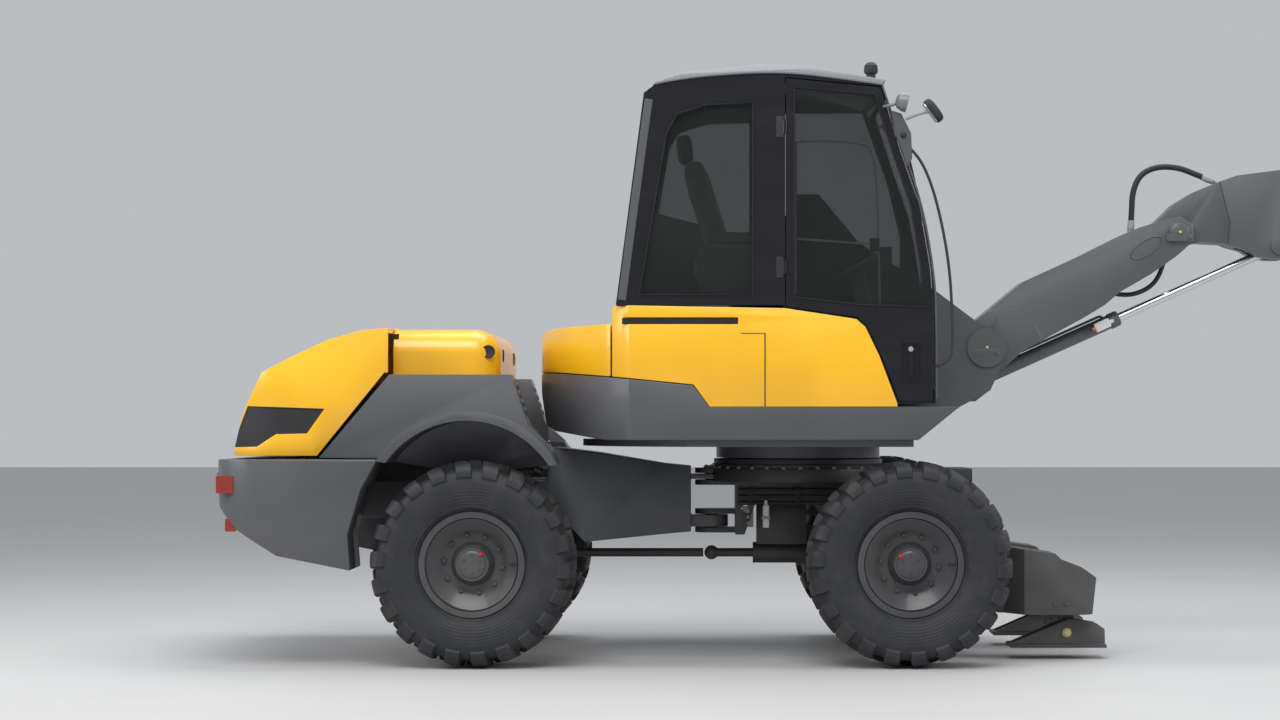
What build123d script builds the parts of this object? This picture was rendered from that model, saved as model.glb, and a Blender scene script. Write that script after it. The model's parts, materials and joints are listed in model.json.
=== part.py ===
from build123d import *
import os
from math import atan2, cos, degrees, hypot, radians, sin, sqrt

os.makedirs("parts", exist_ok=True)

# Wheeled excavator with a frame hinged behind its turret. Millimetres. +X is forward,
# +Y is the machine's left, +Z is up, and the tyres stand on z = 0.

# Main lengths along the machine
front_axle_x = -455.0
wheelbase = 2278.0
rear_axle_x = front_axle_x - wheelbase
slew_offset = 548.0  # slew axis behind the front axle
slew_x = front_axle_x - slew_offset
hinge_offset = 1031.0  # chassis hinge behind the front axle
hinge_x = front_axle_x - hinge_offset

# Clearances
pin_gap = 0.6  # round a hinge pin
side_gap = 6.0  # beside an eye or a tongue in its fork
panel_gap = 8.0  # between body panels that move
seal_gap = 6.0  # round a door

# Wheels
tyre_radius = 540.0
tyre_width = 457.0
track = 1920.0
carcass_radius = 506.0
tyre_half = 222.0
shoulder_half = 196.0
sidewall_radius = 405.0
bead_radius = 250.0
bead_half = 168.0
flange_radius = 275.0
flange_thick = 12.0
rim_wall = 12.0
lugs_a_side = 22
lug_half = 36.0
lug_inner = 24.0
lug_foot = 452.0
disc_offset = 40.0  # wheel disc, outboard of the wheel's centre plane
disc_thick = 14.0
disc_dish = 16.0
hub_radius = 108.0
hub_out = 150.0
hub_in = -20.0
hub_gap = 5.0

# Axles
axle_z = tyre_radius
axle_tube_radius = 78.0
differential_radius = 165.0
brake_radius = 135.0
brake_length = 90.0
spindle_radius = 70.0
kingpin_y = 690.0
kingpin_radius = 28.0
knuckle_radius = 72.0
knuckle_half = 95.0
fork_thick = 40.0
steering_arm = 210.0
steering_arm_drop = 110.0
tie_rod_radius = 18.0
shaft_radius = 24.0
shaft_z = 551.0

# Chassis
frame_half = 250.0
frame_plate = 30.0
deck_plate_z = 952.0
deck_plate_top = 1024.0
deck_plate_half = 420.0
ring_radius = 470.0
ring_bore = 360.0
ring_seam_z = 1080.0
ring_gap = 6.0
turret_floor_z = 1150.0
hinge_pin_radius = 36.0
hinge_lug_radius = 92.0
rear_nose_half = 130.0
rear_frame_half = 380.0
rail_thick = 50.0

# Rear body
rear_half = 1150.0
hood_half = 950.0
front_hood_half = 750.0
panel_wall = 24.0
hood_top_z = 1775.0
hood_seam_z = 1534.0
fender_inner = 702.0
fender_wall = 13.0
arch_radius = 510.0
arch_x = -28.0
arch_z = 777.0
lip_width = 46.0

# Turret
turret_half = 1100.0
tail_radius = 1430.0
tail_room = 20.0
tail_room_z = 1165.0
articulation = 30.0
skirt_bottom_z = 1186.0
cover_bottom_z = 1360.0
boom_y = 150.0
boom_half = 150.0
cheek_thick = 30.0
cheek_inner = boom_half + 12.0
seam = 4.0

# Cab
cab_right = -1090.0
cab_left = -110.0
cab_wall = 46.0
glass_thick = 8.0

# Arm pivots, as (x, z)
boom_foot = (slew_x + 1053.0, 1695.0)
boom_run = 1082.0
boom_rise = 645.0
elbow = (boom_foot[0] + boom_run, boom_foot[1] + boom_rise)
upper_run = 1890.0
upper_drop = 90.0
stick_pivot = (elbow[0] + upper_run, elbow[1] - upper_drop)
stick_length = 1649.0
stick_angle = -60.0
bucket_pivot = (
    stick_pivot[0] + stick_length * cos(radians(stick_angle)),
    stick_pivot[1] + stick_length * sin(radians(stick_angle)),
)
pin_radius = 36.0
boss_height = 14.0
upper_half = 126.0
tongue_half = 98.0
stick_half = 88.0


def side_plane(point, angle, y):
    """Plane of a side outline, at (x, z), with its x axis turned up from +X by an angle."""
    way = (cos(radians(angle)), 0, sin(radians(angle)))
    return Plane(origin=(point[0], y, point[1]), x_dir=way, z_dir=(0, -1, 0))


def outline(points, origin=(0.0, 0.0), angle=0.0, y=0.0):
    """Face from side points, measured from an origin."""
    with BuildSketch(side_plane(origin, angle, y)) as face:
        with BuildLine():
            Polyline(*points, close=True)
        make_face()
    return face.sketch


def plate(points, y_from, y_to, origin=(0.0, 0.0), angle=0.0, mode=Mode.ADD):
    """Side outline made thick from one y to a larger one."""
    extrude(to_extrude=outline(points, origin, angle, y_to), amount=y_to - y_from, mode=mode)


def cross_pin(point, radius, y_from, y_to, mode=Mode.ADD):
    """Round bar across the machine."""
    with BuildSketch(side_plane(point, 0, y_to)) as disc:
        Circle(radius)
    extrude(to_extrude=disc.sketch, amount=y_to - y_from, mode=mode)


def post(x, y, radius, z_from, z_to, mode=Mode.ADD):
    """Upright round bar."""
    with BuildSketch(Plane((x, y, z_from))) as disc:
        Circle(radius)
    extrude(to_extrude=disc.sketch, amount=z_to - z_from, mode=mode)


def block(x_from, x_to, y_from, y_to, z_from, z_to, mode=Mode.ADD):
    """Square block between two corners."""
    with Locations(((x_from + x_to) / 2, (y_from + y_to) / 2, (z_from + z_to) / 2)):
        Box(x_to - x_from, y_to - y_from, z_to - z_from, mode=mode)


def save(piece, name):
    """Label a piece and write it."""
    piece.part.label = name
    export_step(piece.part, f"parts/{name}.step")


# ---------------------------------------------------------------- wheels

# Tyre half section as (distance from the centre plane, radius)
tyre_edge = [
    (bead_half, bead_radius),
    (bead_half, flange_radius + 4.0),
    (tyre_half, sidewall_radius),
    (shoulder_half, carcass_radius - 8.0),
    (0.0, carcass_radius),
]
lug_edge = [
    (lug_inner, carcass_radius - 20.0),
    (lug_inner, tyre_radius),
    (200.0, tyre_radius - 12.0),
    (tyre_width / 2, tyre_radius - 52.0),
    (tyre_width / 2, lug_foot),
    (190.0, lug_foot),
]
with BuildPart() as tyre:
    with BuildSketch(Plane.YZ):
        with BuildLine():
            Polyline(*tyre_edge, *[(-y, r) for y, r in reversed(tyre_edge[:-1])], close=True)
        make_face()
    revolve(axis=Axis.Y)
    with BuildPart(mode=Mode.PRIVATE) as lug:
        with BuildSketch(Plane.YZ.offset(-lug_half)):
            with BuildLine():
                Polyline(*lug_edge, close=True)
            make_face()
        extrude(amount=2 * lug_half)
    far_lug = mirror(lug.part, about=Plane.XZ, mode=Mode.PRIVATE)
    turn = 360 / lugs_a_side
    add([lug.part.rotate(Axis.Y, n * turn) for n in range(lugs_a_side)])
    add([far_lug.rotate(Axis.Y, (n + 0.5) * turn) for n in range(lugs_a_side)])

with BuildPart() as rim:
    with BuildSketch(Plane.YZ):
        with BuildLine():
            Polyline(
                (-bead_half, bead_radius),
                (-bead_half, flange_radius),
                (-bead_half - flange_thick, flange_radius),
                (-bead_half - flange_thick, bead_radius - rim_wall),
                (disc_offset, bead_radius - rim_wall),
                (disc_offset + disc_dish, 150.0),
                (hub_in, hub_radius),
                (hub_in, 0),
                (hub_out, 0),
                (hub_out, hub_radius - 22.0),
                (disc_offset + disc_thick + 12.0, hub_radius + 6.0),
                (disc_offset + disc_thick + disc_dish, 150.0),
                (disc_offset + disc_thick + 60.0, bead_radius - rim_wall),
                (bead_half + flange_thick, bead_radius - rim_wall),
                (bead_half + flange_thick, flange_radius),
                (bead_half, flange_radius),
                (bead_half, bead_radius),
                close=True,
            )
        make_face()
    revolve(axis=Axis.Y)

# name, x of the axle, side of the machine
wheels = [
    ("rear_right", rear_axle_x, -1),
    ("rear_left", rear_axle_x, 1),
    ("front_right", front_axle_x, -1),
    ("front_left", front_axle_x, 1),
]
for name, x, side in wheels:
    spot = Location((x, side * track / 2, axle_z), (0, 0, 90 - 90 * side))
    with BuildPart() as wheel_tyre:
        add(tyre.part.moved(spot))
    save(wheel_tyre, f"tyre_{name}")
    with BuildPart() as wheel_rim:
        add(rim.part.moved(spot))
    save(wheel_rim, f"rim_{name}")

# ---------------------------------------------------------------- axles


def axle_profile(end, end_radius):
    """Half outline of an axle beam as (distance from the middle, radius)."""
    return [
        (0, differential_radius),
        (60, differential_radius),
        (125, 128),
        (190, axle_tube_radius),
        (end - brake_length - 40, axle_tube_radius),
        (end - brake_length - 40, end_radius),
        (end, end_radius),
        (end, 0),
    ]


def axle_beam(profile, x):
    """Solid beam turned about the wheel line."""
    with BuildSketch(Plane((x, 0, axle_z), x_dir=(0, 1, 0), z_dir=(1, 0, 0))) as half:
        with BuildLine():
            Polyline(*profile, *[(-y, r) for y, r in reversed(profile)], close=True)
        make_face()
    revolve(half.sketch, axis=Axis((x, 0, axle_z), (0, 1, 0)))


def run_shaft(x_from, x_to, radius):
    """Round bar along the machine at the height of the propeller shaft."""
    with BuildSketch(Plane((x_from, 0, shaft_z), x_dir=(0, 1, 0), z_dir=(1, 0, 0))) as disc:
        Circle(radius)
    extrude(to_extrude=disc.sketch, amount=x_to - x_from)


rail_z = 760.0
rail_top = 960.0
frame_seat_z = 650.0
nose_length = 230.0
spindle_end = track / 2 + hub_in - hub_gap
brake_end = track / 2 - 110.0
with BuildPart() as rear_axle:
    axle_beam(axle_profile(brake_end, brake_radius), rear_axle_x)
    cross_pin((rear_axle_x, axle_z), spindle_radius, -spindle_end, spindle_end)
    run_shaft(rear_axle_x, rear_axle_x + nose_length, 62.0)
    run_shaft(rear_axle_x + nose_length, hinge_x - 46.0, shaft_radius)
    for side in (-1, 1):
        seat = rear_frame_half - rail_thick / 2
        block(
            rear_axle_x - 80, rear_axle_x + 80, side * seat - 25, side * seat + 25, axle_z, rail_z
        )
save(rear_axle, "rear_axle")

yoke_end = kingpin_y - knuckle_radius - 13.0
yoke_z = knuckle_half + side_gap
with BuildPart() as front_axle:
    beam = [
        (0, differential_radius),
        (60, differential_radius),
        (125, 128),
        (190, axle_tube_radius),
        (yoke_end, axle_tube_radius),
        (yoke_end, 0),
    ]
    axle_beam(beam, front_axle_x)
    run_shaft(front_axle_x - nose_length, front_axle_x, 62.0)
    for side in (-1, 1):
        seat = frame_half - frame_plate / 2
        block(
            front_axle_x - 80,
            front_axle_x + 80,
            side * seat - frame_plate / 2,
            side * seat + frame_plate / 2,
            axle_z,
            frame_seat_z,
        )
        ends = sorted((side * (yoke_end - 45), side * yoke_end))
        yoke_top = axle_z + yoke_z + fork_thick
        yoke_bottom = axle_z - yoke_z - fork_thick
        block(front_axle_x - 60, front_axle_x + 60, *ends, yoke_bottom, yoke_top)
        for z in (axle_z + yoke_z, axle_z - yoke_z - fork_thick):
            reach = sorted((side * (yoke_end - 10), side * kingpin_y))
            block(front_axle_x - 56, front_axle_x + 56, *reach, z, z + fork_thick)
            post(front_axle_x, side * kingpin_y, 56, z, z + fork_thick)
        bore = kingpin_radius + pin_gap
        post(front_axle_x, side * kingpin_y, bore, yoke_bottom, yoke_top, Mode.SUBTRACT)
save(front_axle, "front_axle")

arm_z = axle_z - steering_arm_drop + 20.0
arm_thick = 28.0
ball_radius = 12.0
for name, side in (("right", -1), ("left", 1)):
    pivot = side * kingpin_y
    with BuildPart() as knuckle:
        post(front_axle_x, pivot, knuckle_radius, axle_z - knuckle_half, axle_z + knuckle_half)
        pin_half = yoke_z + fork_thick
        post(front_axle_x, pivot, kingpin_radius, axle_z - pin_half, axle_z + pin_half)
        ends = sorted((pivot, side * spindle_end))
        cross_pin((front_axle_x, axle_z), spindle_radius, *ends)
        ends = sorted((side * (kingpin_y + 92), side * brake_end))
        cross_pin((front_axle_x, axle_z), brake_radius, *ends)
        ball_x = front_axle_x - steering_arm
        block(ball_x, front_axle_x, pivot - 28, pivot + 28, arm_z, arm_z + arm_thick)
        post(ball_x, pivot, 28, arm_z, arm_z + arm_thick)
        post(ball_x, pivot, ball_radius + pin_gap, arm_z, arm_z + arm_thick, Mode.SUBTRACT)
    save(knuckle, f"knuckle_{name}")

with BuildPart() as tie_rod:
    rod_z = arm_z - 22.0
    with BuildSketch(side_plane((ball_x, rod_z), 0, kingpin_y)):
        Circle(tie_rod_radius)
    extrude(amount=2 * kingpin_y)
    for side in (-1, 1):
        post(ball_x, side * kingpin_y, 30, rod_z - 20, rod_z + 20)
        post(ball_x, side * kingpin_y, ball_radius, rod_z, arm_z + arm_thick)
save(tie_rod, "tie_rod")

# ---------------------------------------------------------------- front chassis

# Lugs of the chassis hinge: bottom, top, body
hinge_lugs = [
    (665, 693, "front"),
    (698, 764, "rear"),
    (769, 797, "front"),
    (930, 958, "front"),
    (963, 991, "rear"),
    (996, deck_plate_top, "front"),
]
cross_plate_x = front_axle_x - 900.0
nose_z = hinge_x - 115.0
stabiliser_pivot = (front_axle_x + 377.0, 450.0)
stabiliser_pin = 32.0
arm_out = 430.0
arm_in = frame_half + 12.0
lashing_hole = (front_axle_x - 845.0, 800.0)
lashing_radius = 22.5
web = [
    (-900, deck_plate_z),
    (-900, 660),
    (-850, 660),
    (-790, 832),
    (-470, 832),
    (-330, frame_seat_z),
    (170, frame_seat_z),
    (250, 400),
    (300, 370),
    (430, 370),
    (470, 420),
    (470, 560),
    (400, deck_plate_z),
]
with BuildPart() as front_frame:
    for side in (-1, 1):
        ends = sorted((side * frame_half, side * (frame_half - frame_plate)))
        plate(web, *ends, origin=(front_axle_x, 0))
    block(cross_plate_x, cross_plate_x + 30, -frame_half, frame_half, 660, deck_plate_z)
    block(front_axle_x + 370, front_axle_x + 400, -frame_half, frame_half, 400, deck_plate_z)
    block(
        cross_plate_x - 20,
        front_axle_x + 400,
        -frame_half - 40,
        frame_half + 40,
        deck_plate_z,
        deck_plate_top,
    )
    post(slew_x, 0, ring_radius + 12, deck_plate_z, deck_plate_top)
    for bottom, top, body in hinge_lugs:
        if body == "front":
            post(hinge_x, 0, hinge_lug_radius, bottom, top)
            lug_reach = cross_plate_x + 10
            block(hinge_x, lug_reach, -hinge_lug_radius, hinge_lug_radius, bottom, top)
    cut = hinge_x + hinge_lug_radius + 24
    for bottom, top, body in hinge_lugs:
        if body == "rear":
            room = hinge_lug_radius + 24
            post(hinge_x, 0, room, bottom - 5, top + 5, Mode.SUBTRACT)
    post(hinge_x, 0, room, 797, 930, Mode.SUBTRACT)
    for bottom, top in ((665, 797), (930, deck_plate_top)):
        post(hinge_x, 0, hinge_pin_radius, bottom, top)
    cross_pin(stabiliser_pivot, stabiliser_pin, -arm_out, arm_out)
    cross_pin(lashing_hole, lashing_radius, -frame_half - 10, frame_half + 10, Mode.SUBTRACT)
save(front_frame, "front_frame")

with BuildPart() as slew_ring:
    post(slew_x, 0, ring_radius, deck_plate_top, ring_seam_z - ring_gap / 2)
    post(slew_x, 0, ring_bore, deck_plate_top, ring_seam_z, Mode.SUBTRACT)
save(slew_ring, "slew_ring")

with BuildPart() as gearbox:
    block(front_axle_x - 779, front_axle_x - 506, -140, 140, 603, 832)
    block(front_axle_x - 740, front_axle_x - 540, -100, 100, 832, deck_plate_z)
    run_shaft(front_axle_x - 520, front_axle_x - nose_length, shaft_radius)
    run_shaft(hinge_x, front_axle_x - 700, shaft_radius)
    with Locations((hinge_x, 0, shaft_z)):
        Sphere(40)
    run_shaft(front_axle_x - 800, front_axle_x - 480, 58)
save(gearbox, "gearbox")

# Stabiliser arm: side outline from the front axle, and plan outline
arm_side = [
    (330, 500),
    (586, 603),
    (818, 571),
    (849, 541),
    (957, 500),
    (1050, 438),
    (1024, 243),
    (525, 243),
    (320, 395),
]
wide = 600.0
arm_plan = [
    (270, arm_in),
    (270, arm_out),
    (560, arm_out),
    (650, wide),
    (980, wide),
    (1050, wide - 90),
    (1060, arm_in),
]
pad_pin = (front_axle_x + 891.0, 140.0)
pad_middle = 430.0
pad_side = [(581, 62), (581, 76), (901, 216), (1050, 191), (1096, 160), (1099, 62)]
for name, side in (("right", -1), ("left", 1)):
    with BuildPart() as stabiliser_arm:
        ends = sorted((side * arm_in, side * wide))
        plate(arm_side, *ends, origin=(front_axle_x, 0))
        with BuildSketch(Plane.XY):
            with BuildLine():
                Polyline(*[(front_axle_x + x, side * y) for x, y in arm_plan], close=True)
            make_face()
        extrude(amount=1000, mode=Mode.INTERSECT)
        cross_pin(stabiliser_pivot, 78, *sorted((side * arm_in, side * arm_out)))
        cross_pin(
            stabiliser_pivot,
            stabiliser_pin + pin_gap,
            *sorted((side * arm_in, side * arm_out)),
            Mode.SUBTRACT,
        )
        middle = side * pad_middle
        cross_pin(pad_pin, 42, middle - 25, middle + 25)
        block(pad_pin[0] - 42, pad_pin[0] + 42, middle - 25, middle + 25, pad_pin[1], 260)
        cross_pin(pad_pin, 20, middle - 70, middle + 70)
    save(stabiliser_arm, f"stabiliser_arm_{name}")
    with BuildPart() as stabiliser_pad:
        block(
            front_axle_x + 581, front_axle_x + 1099, middle - 130, middle + 130, 62, 80
        )
        for y in (middle - 60, middle + 60):
            plate(pad_side, y - 12, y + 12, origin=(front_axle_x, 0))
        cross_pin(pad_pin, 20 + pin_gap, middle - 80, middle + 80, Mode.SUBTRACT)
    save(stabiliser_pad, f"stabiliser_pad_{name}")

# ---------------------------------------------------------------- rear chassis

nose_side = [
    (-115, 1036),
    (-268, 1051),
    (-622, 1108),
    (-872, 1140),
    (-900, 1136),
    (-900, rail_z),
    (-820, rail_z),
    (-694, 625),
    (-309, 656),
    (-115, 672),
]
nose_plan = [
    (-115, rear_nose_half),
    (-200, rear_nose_half),
    (-700, rear_frame_half),
    (-900, rear_frame_half),
]
rail_end = rear_axle_x - 1045.0
with BuildPart() as rear_frame:
    plate(nose_side, -rear_frame_half, rear_frame_half, origin=(hinge_x, 0))
    with BuildSketch(Plane.XY):
        with BuildLine():
            points = [(hinge_x + x, y) for x, y in nose_plan]
            Polyline(*points, *[(x, -y) for x, y in reversed(points)], close=True)
        make_face()
    extrude(amount=1400, mode=Mode.INTERSECT)
    for side in (-1, 1):
        ends = sorted((side * rear_frame_half, side * (rear_frame_half - rail_thick)))
        block(rail_end, hinge_x - 880, *ends, rail_z, rail_top)
        ends = sorted((side * (rear_frame_half - 20), side * fender_inner))
        block(rear_axle_x + 320, rear_axle_x + 370, *ends, 1030, 1120)
    block(rail_end, rail_end + 40, -rear_frame_half, rear_frame_half, rail_z, rail_top)
    post(hinge_x, 0, hinge_lug_radius + 23, 600, 1100, Mode.SUBTRACT)
    for bottom, top, body in hinge_lugs:
        if body == "rear":
            post(hinge_x, 0, hinge_lug_radius, bottom, top)
            block(hinge_x - 135, hinge_x, -hinge_lug_radius, hinge_lug_radius, bottom, top)
    post(hinge_x, 0, hinge_pin_radius + pin_gap, 600, 1100, Mode.SUBTRACT)
save(rear_frame, "rear_frame")

with BuildPart() as engine:
    block(rear_axle_x - 980, rear_axle_x - 120, -290, 290, 800, 1470)
    inner = rear_frame_half - rail_thick
    for x in (rear_axle_x - 900, rear_axle_x - 260):
        block(x, x + 100, -inner, inner, 880, 950)
save(engine, "engine")

weight_side = [
    (-1340, 1085),
    (-1350, 1044),
    (-1330, 836),
    (-1230, 725),
    (-1010, 586),
    (-629, 510),
    (-643, 697),
    (-574, 932),
    (-495, 1072),
    (-505, 1085),
]
corner = 250.0
with BuildPart() as counterweight:
    plate(weight_side, -rear_half, rear_half, origin=(rear_axle_x, 0))
    with BuildSketch(Plane.XY):
        with Locations((rear_axle_x - 350, 0)):
            RectangleRounded(2000, 2 * rear_half, corner)
        with Locations((rail_end + 1000, 0)):
            Rectangle(2000, 2 * fender_inner, mode=Mode.SUBTRACT)
    extrude(amount=1200, mode=Mode.INTERSECT)
save(counterweight, "counterweight")

with BuildPart() as rear_lamps:
    for side in (-1, 1):
        y = side * 780
        block(rear_axle_x - 1362, rear_axle_x - 1300, y - 75, y + 75, 940, 1000)
        y = side * 1060
        block(rear_axle_x - 1330, rear_axle_x - 1240, *sorted((y, side * 1110)), 910, 1000)
    add(counterweight.part, mode=Mode.SUBTRACT)
save(rear_lamps, "rear_lamps")

fender_side = [
    (-448, hood_seam_z - 4),
    (188, hood_seam_z - 4),
    (280, 1266),
    (384, 1169),
    (440, 1058),
    (-28, 1000),
    (-495, 1076),
    (-505, 1089),
    (-817, 1093),
]
with BuildPart() as fenders:
    for side in (-1, 1):
        ends = sorted((side * (fender_inner + fender_wall), side * hood_half))
        plate(fender_side, *ends, origin=(rear_axle_x, 0))
        arch = (rear_axle_x + arch_x, arch_z)
        cross_pin(arch, arch_radius, *ends, Mode.SUBTRACT)
        ends = sorted((side * fender_inner, side * (fender_inner + fender_wall)))
        plate(fender_side, *ends, origin=(rear_axle_x, 0))
        ends = sorted((side * hood_half, side * rear_half))
        plate(fender_side, *ends, origin=(rear_axle_x, 0))
        cross_pin(arch, arch_radius, *ends, Mode.SUBTRACT)
    lip_cut = arch_radius + lip_width
    with BuildPart(mode=Mode.PRIVATE) as beyond_lip:
        cross_pin(arch, 2000, -rear_half, rear_half)
        cross_pin(arch, lip_cut, -rear_half, rear_half, Mode.SUBTRACT)
        block(-6000, 0, -hood_half, hood_half, 0, 3000, Mode.SUBTRACT)
    add(beyond_lip.part, mode=Mode.SUBTRACT)
    # Room for the turret's tail with the frame turned hard over to either side
    swing = slew_x - hinge_x
    for way in (-articulation, articulation):
        middle = (hinge_x + swing * cos(radians(way)), swing * sin(radians(way)))
        post(*middle, tail_radius + tail_room, tail_room_z, hood_top_z, Mode.SUBTRACT)
save(fenders, "fenders")

hood_from = rear_axle_x - 448
hood_to = rear_axle_x + 112
hood_front = hood_from - panel_gap
top_round = 130.0
hood_hinge_radius = 11.0
hood_hinge_half = 45.0
hood_hinge_y = (-480.0, 480.0)
with BuildPart() as front_hood:
    block(hood_from, hood_to, -front_hood_half, front_hood_half, hood_seam_z - 4, hood_top_z)
    uprights = front_hood.edges().filter_by(Axis.Z).group_by(Axis.X)[-1]
    fillet(uprights, 150)
    front_top = front_hood.edges().group_by(Axis.Z)[-1].filter_by(
        lambda e: e.center().X > hood_from + 1
    )
    fillet(front_top, top_round)
    offset(amount=-panel_wall, openings=front_hood.faces().filter_by(Axis.Z).sort_by(Axis.Z)[0])
    block(
        hood_from - 10,
        hood_from + panel_wall + 1,
        -front_hood_half + panel_wall,
        front_hood_half - panel_wall,
        hood_seam_z - 10,
        hood_top_z - panel_wall,
        Mode.SUBTRACT,
    )
    for y in hood_hinge_y:
        room = (y - hood_hinge_half - panel_gap, y + hood_hinge_half + panel_gap)
        cross_pin((hood_front, hood_top_z), hood_hinge_radius + panel_gap, *room, Mode.SUBTRACT)
save(front_hood, "front_hood")

hood_side = [
    (hood_front, hood_top_z),
    (rear_axle_x - 605, 1760),
    (rear_axle_x - 775, 1710),
    (rear_axle_x - 955, 1626),
    (rear_axle_x - 1120, 1541),
    (rear_axle_x - 1219, 1350),
    (rear_axle_x - 1305, 1103),
    (rear_axle_x - 828, 1103),
    (rear_axle_x - 475, hood_seam_z + 6),
    (hood_front, hood_seam_z + 6),
]
hood_inside = [
    (hood_front + 10, hood_top_z - panel_wall),
    (rear_axle_x - 603, 1760 - panel_wall),
    (rear_axle_x - 768, 1710 - panel_wall),
    (rear_axle_x - 945, 1626 - panel_wall),
    (rear_axle_x - 1102, 1541 - panel_wall),
    (rear_axle_x - 1196, 1345),
    (rear_axle_x - 1285, 1090),
    (hood_front + 10, 1090),
]


def hood_form(points, half, round_off):
    """Hood block: a side outline cut to a plan with round rear corners."""
    with BuildPart() as form:
        plate(points, -half, half)
        with BuildSketch(Plane.XY):
            rear = min(x for x, z in points) - 3
            with Locations((rear + 1500, 0)):
                RectangleRounded(3000, 2 * half, round_off)
        extrude(amount=2000, mode=Mode.INTERSECT)
    return form.part


grille = [
    (-1200, 1364),
    (-788, 1350),
    (-880, 1220),
    (-1042, 1216),
    (-1148, 1150),
    (-1300, 1146),
]
with BuildPart() as engine_hood:
    add(hood_form(hood_side, hood_half, 280.0))
    add(hood_form(hood_inside, hood_half - panel_wall, 256.0), mode=Mode.SUBTRACT)
    plate(grille, -hood_half - 5, hood_half + 5, (rear_axle_x, 0), mode=Mode.SUBTRACT)
    for y in hood_hinge_y:
        room = (y - hood_hinge_half, y + hood_hinge_half)
        cross_pin((hood_front, hood_top_z), hood_hinge_radius, *room)
save(engine_hood, "engine_hood")

with BuildPart() as hood_grilles:
    add(hood_form(hood_side, hood_half - 8, 276.0))
    add(hood_form(hood_inside, hood_half - panel_wall, 256.0), mode=Mode.SUBTRACT)
    plate(grille, -hood_half, hood_half, (rear_axle_x, 0), mode=Mode.INTERSECT)
save(hood_grilles, "hood_grilles")

# ---------------------------------------------------------------- turret


def turret_plan(inset, front):
    """Plan of the turret: straight sides and a tail round the slew axis."""
    with BuildSketch(Plane.XY) as plan:
        with Locations((slew_x, 0)):
            Circle(tail_radius - inset)
            Rectangle(4000, 2 * (turret_half - inset), mode=Mode.INTERSECT)
            with Locations((front - inset + 2000, 0)):
                Rectangle(4000, 4000, mode=Mode.SUBTRACT)
    return plan.sketch


def trim_to_plan(inset=0.0, front=900.0):
    """Cut the part in hand to the turret's plan."""
    extrude(to_extrude=turret_plan(inset, front), amount=3000, mode=Mode.INTERSECT)


slot_half = cheek_inner + cheek_thick + 7.0
slot_from = slew_x - 440.0
slot_right = boom_y - slot_half
slot_left = boom_y + slot_half
deck_thick = 36.0
floor_radius = 1200.0
tower_side = [
    (-425, skirt_bottom_z - 1),
    (675, skirt_bottom_z - 1),
    (725, 1236),
    (905, 1365),
    (1073, 1456),
    (1120, 1560),
    (1160, 1640),
    (1160, 1740),
    (1100, 1800),
    (1010, 1830),
    (784, 2000),
    (340, 2280),
    (115, 2550),
    (-5, 2550),
    (-425, 1800),
]
lift_base = (slew_x + 116.0, 2223.0)
lift_head = (boom_foot[0] - 199.0, boom_foot[1] - 204.0)
lift_radius = 55.0
lug_gap = 6.0
with BuildPart() as turret_deck:
    extrude(
        to_extrude=Plane.XY.offset(turret_floor_z) * turret_plan(70, 640),
        amount=deck_thick,
    )
    post(slew_x, 0, floor_radius, turret_floor_z, skirt_bottom_z, Mode.INTERSECT)
    block(
        slew_x + 590,
        slew_x + 1200,
        boom_y - cheek_inner,
        boom_y + cheek_inner,
        turret_floor_z - 5,
        skirt_bottom_z + 5,
        Mode.SUBTRACT,
    )
    post(slew_x, 0, ring_radius - 14, ring_seam_z + ring_gap / 2, turret_floor_z)
    post(slew_x, 0, ring_bore - 20, ring_seam_z, turret_floor_z, Mode.SUBTRACT)
    for side in (-1, 1):
        near = boom_y + side * cheek_inner
        ends = sorted((near, near + side * cheek_thick))
        plate(tower_side, *ends, origin=(slew_x, 0))
        cross_pin(boom_foot, 110, *sorted((near, near + side * (cheek_thick + boss_height))))
        near = boom_y + side * (lift_radius + lug_gap)
        cross_pin(lift_base, 60, *sorted((near, boom_y + side * cheek_inner)))
    cross_pin(boom_foot, pin_radius, boom_y - slot_half, boom_y + slot_half)
    cross_pin(lift_base, 30, boom_y - cheek_inner, boom_y + cheek_inner)
save(turret_deck, "turret_deck")

skirt_side = [
    (-1500, 1550),
    (-1500, 1500),
    (-1435, 1491),
    (-1385, 1262),
    (-1330, 1232),
    (-1046, skirt_bottom_z),
    (590, skirt_bottom_z),
    (717, 1290),
    (805, cover_bottom_z),
    (-496, cover_bottom_z),
    (-579, 1471),
    (-1010, 1514),
    (-1331, 1543),
]
with BuildPart() as turret_skirt:
    plate(skirt_side, -turret_half, turret_half, origin=(slew_x, 0))
    trim_to_plan()
    block(slot_from, slew_x + 900, slot_right, slot_left, 1100, 1700, Mode.SUBTRACT)
save(turret_skirt, "turret_skirt")

tail_side = [
    (-1010 - seam, 1514 + seam),
    (-1331, 1543 + seam),
    (-1500, 1550 + seam),
    (-1500, 1740),
    (-1410, 1768),
    (-1340, 1782),
    (-1010 - seam, 1794),
]
with BuildPart() as turret_tail:
    plate(tail_side, -turret_half, turret_half, origin=(slew_x, 0))
    trim_to_plan()
save(turret_tail, "turret_tail")

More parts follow.
